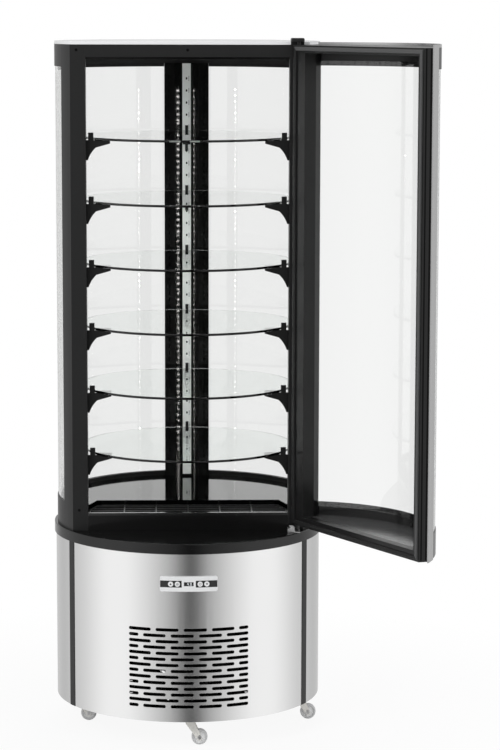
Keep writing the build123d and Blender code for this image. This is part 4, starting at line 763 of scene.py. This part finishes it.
# shelf rail: a fine stamped line beside each hole
rail = {"pitch": 0.032, "count": 33, "aside": 0.0062, "line": (0.0010, 0.013), "proud": 0.0001}
low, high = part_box("shelf_rail")
bm = bmesh.new()
for k in range(rail["count"]):
    z = (low[2] + high[2]) / 2 + (k - (rail["count"] - 1) / 2) * rail["pitch"]
    w, h = rail["line"]
    addBox(bm, (rail["aside"] - w / 2, low[1] - rail["proud"], z - h / 2),
           (rail["aside"] + w / 2, low[1] + rail["proud"], z + h / 2))
addPiece("railMarks", bm, ["signDark"], "cabinet", smooth=False)
print("rail marked")

# camera, lights, floor and surroundings
camera = bpy.data.objects.new("camera", bpy.data.cameras.new("camera"))
bpy.context.scene.collection.objects.link(camera)
cameraPose = {"place": (-0.0443, -6.6557, 1.8271), "pitch": 0.1390, "yaw": 0.0308, "roll": 0.0022,
              "lens": 125.22, "sensor": 36.0, "farthest": 60.0}
camera.data.lens = cameraPose["lens"]
camera.data.sensor_width = cameraPose["sensor"]
camera.data.clip_end = cameraPose["farthest"]
yaw, pitch, roll = cameraPose["yaw"], cameraPose["pitch"], cameraPose["roll"]
ahead = Vector((sin(yaw) * cos(pitch), cos(yaw) * cos(pitch), -sin(pitch)))
right = Vector((cos(yaw), -sin(yaw), 0.0))
above = right.cross(ahead)
rightRolled = right * cos(roll) + above * sin(roll)
aboveRolled = above * cos(roll) - right * sin(roll)
turned = Matrix((rightRolled, aboveRolled, -ahead)).transposed()
camera.matrix_world = Matrix.Translation(cameraPose["place"]) @ turned.to_4x4()
bpy.context.scene.camera = camera


def seenDirectly(tree):
    # 1 for camera, mirror and see-through rays: they meet a clean white surround
    path = node(tree, "ShaderNodeLightPath").outputs
    either = math(tree, "MAXIMUM", path["Is Camera Ray"], path["Is Glossy Ray"])
    return math(tree, "MAXIMUM", either, path["Is Transmission Ray"])


surround = {"white": 1.0, "fill": 0.62, "fillTint": (0.97, 0.985, 1.0)}
world = bpy.data.worlds.new("studio")
bpy.context.scene.world = world
world.use_nodes = True
tree = world.node_tree
tree.nodes.clear()
soft = node(tree, "ShaderNodeBackground", {0: shade(surround["fillTint"]), 1: surround["fill"]})
clean = node(tree, "ShaderNodeBackground", {0: shade(1.0), 1: surround["white"]})
mixed = node(tree, "ShaderNodeMixShader", {0: seenDirectly(tree), 1: soft.outputs[0], 2: clean.outputs[0]})
worldOut = node(tree, "ShaderNodeOutputWorld")
tree.links.new(mixed.outputs[0], worldOut.inputs[0])

floorLook = {"radius": 2.4, "sides": 128, "drop": 0.0005, "pale": 0.80, "fadeFrom": 0.5, "fadeTo": 1.3,
             "keep": 0.90}
bm = bmesh.new()
bmesh.ops.create_circle(bm, cap_ends=True, segments=floorLook["sides"], radius=floorLook["radius"])
mesh = bpy.data.meshes.new("floor")
bm.to_mesh(mesh)
bm.free()
ground = bpy.data.objects.new("floor", mesh)
bpy.context.scene.collection.objects.link(ground)
ground.location.z = -floorLook["drop"]
mat, tree, out = startMaterial("paleFloor")
place = node(tree, "ShaderNodeSeparateXYZ", {0: objectCoords(tree)}).outputs
away = math(tree, "SQRT", math(tree, "ADD", math(tree, "MULTIPLY", place[0], place[0]),
                               math(tree, "MULTIPLY", place[1], place[1])))
fade = mapRange(tree, away, floorLook["fadeFrom"], floorLook["fadeTo"], floorLook["keep"], 1.0)
matt = node(tree, "ShaderNodeBsdfDiffuse", {0: shade(floorLook["pale"])})
glow = node(tree, "ShaderNodeEmission", {0: shade(1.0), 1: 1.0})
lit = node(tree, "ShaderNodeMixShader", {0: math(tree, "MULTIPLY", fade, seenDirectly(tree)),
                                         1: matt.outputs[0], 2: glow.outputs[0]})
tree.links.new(lit.outputs[0], out.inputs[0])
mesh.materials.append(mat)


def addLamp(name, place, aim, size, power):
    # a soft rectangular lamp that no surface mirrors
    lamp = bpy.data.objects.new(name, bpy.data.lights.new(name, "AREA"))
    lamp.data.shape = "RECTANGLE"
    lamp.data.size, lamp.data.size_y = size
    lamp.data.energy = power
    lamp.location = place
    lamp.rotation_euler = (Vector((0, 0, aim)) - Vector(place)).to_track_quat("-Z", "Y").to_euler()
    lamp.visible_glossy = False
    lamp.visible_camera = False
    lamp.visible_transmission = False
    bpy.context.scene.collection.objects.link(lamp)


# each lamp looks at a height on the drum's axis
addLamp("keyLamp", place=(-2.6, -3.2, 3.4), aim=0.9, size=(2.2, 2.2), power=75)
addLamp("fillLamp", place=(3.4, -2.4, 2.2), aim=0.9, size=(2.4, 2.4), power=40)
addLamp("backLamp", place=(0.5, 3.6, 3.0), aim=1.0, size=(2.4, 1.8), power=45)

# a light tent that only polished surfaces see: dark slit in front, bright sides, grey back
tent = {"radius": 2.6, "low": -2.5, "high": 4.5, "sides": 96, "turn": radians(2.0), "halfTurn": 180.0,
        # each tone: degrees away from the front, and its lightness
        "tones": ((0, 0.03), (5, 0.15), (14, 0.44), (32, 0.74), (52, 1.0), (74, 1.0), (100, 0.70),
                  (135, 0.53), (180, 0.80))}
bm = bmesh.new()
rows = []
for k in range(tent["sides"]):
    a = 2 * pi * k / tent["sides"]
    spot = (tent["radius"] * cos(a), tent["radius"] * sin(a))
    rows.append([bm.verts.new((spot[0], spot[1], z)) for z in (tent["low"], tent["high"])])
for a, b in zip(rows, rows[1:] + rows[:1]):
    bm.faces.new((a[0], b[0], b[1], a[1]))
mesh = bpy.data.meshes.new("lightTent")
bm.to_mesh(mesh)
bm.free()
mat, tree, out = startMaterial("lightTent")
place = node(tree, "ShaderNodeSeparateXYZ", {0: objectCoords(tree)}).outputs
front = math(tree, "MULTIPLY", place[1], -1.0)
turn = math(tree, "ABSOLUTE", math(tree, "SUBTRACT", math(tree, "ARCTAN2", place[0], front), tent["turn"]))
ramp = node(tree, "ShaderNodeValToRGB", {0: math(tree, "DIVIDE", turn, pi)})
stops = ramp.color_ramp.elements
while len(stops) < len(tent["tones"]):
    stops.new(0.5)
for stop, (angle, tone) in zip(stops, tent["tones"]):
    stop.position = angle / tent["halfTurn"]
    stop.color = shade(tone)
glow = node(tree, "ShaderNodeEmission", {0: ramp.outputs[0], 1: 1.0})
tree.links.new(glow.outputs[0], out.inputs[0])
mesh.materials.append(mat)
lightTent = bpy.data.objects.new("lightTent", mesh)
bpy.context.scene.collection.objects.link(lightTent)
for ray in ("camera", "diffuse", "transmission", "shadow", "volume_scatter"):
    setattr(lightTent, "visible_" + ray, False)
ground.visible_glossy = False

bpy.context.scene.view_settings.view_transform = "Standard"
print("camera, lamps and floor ready")
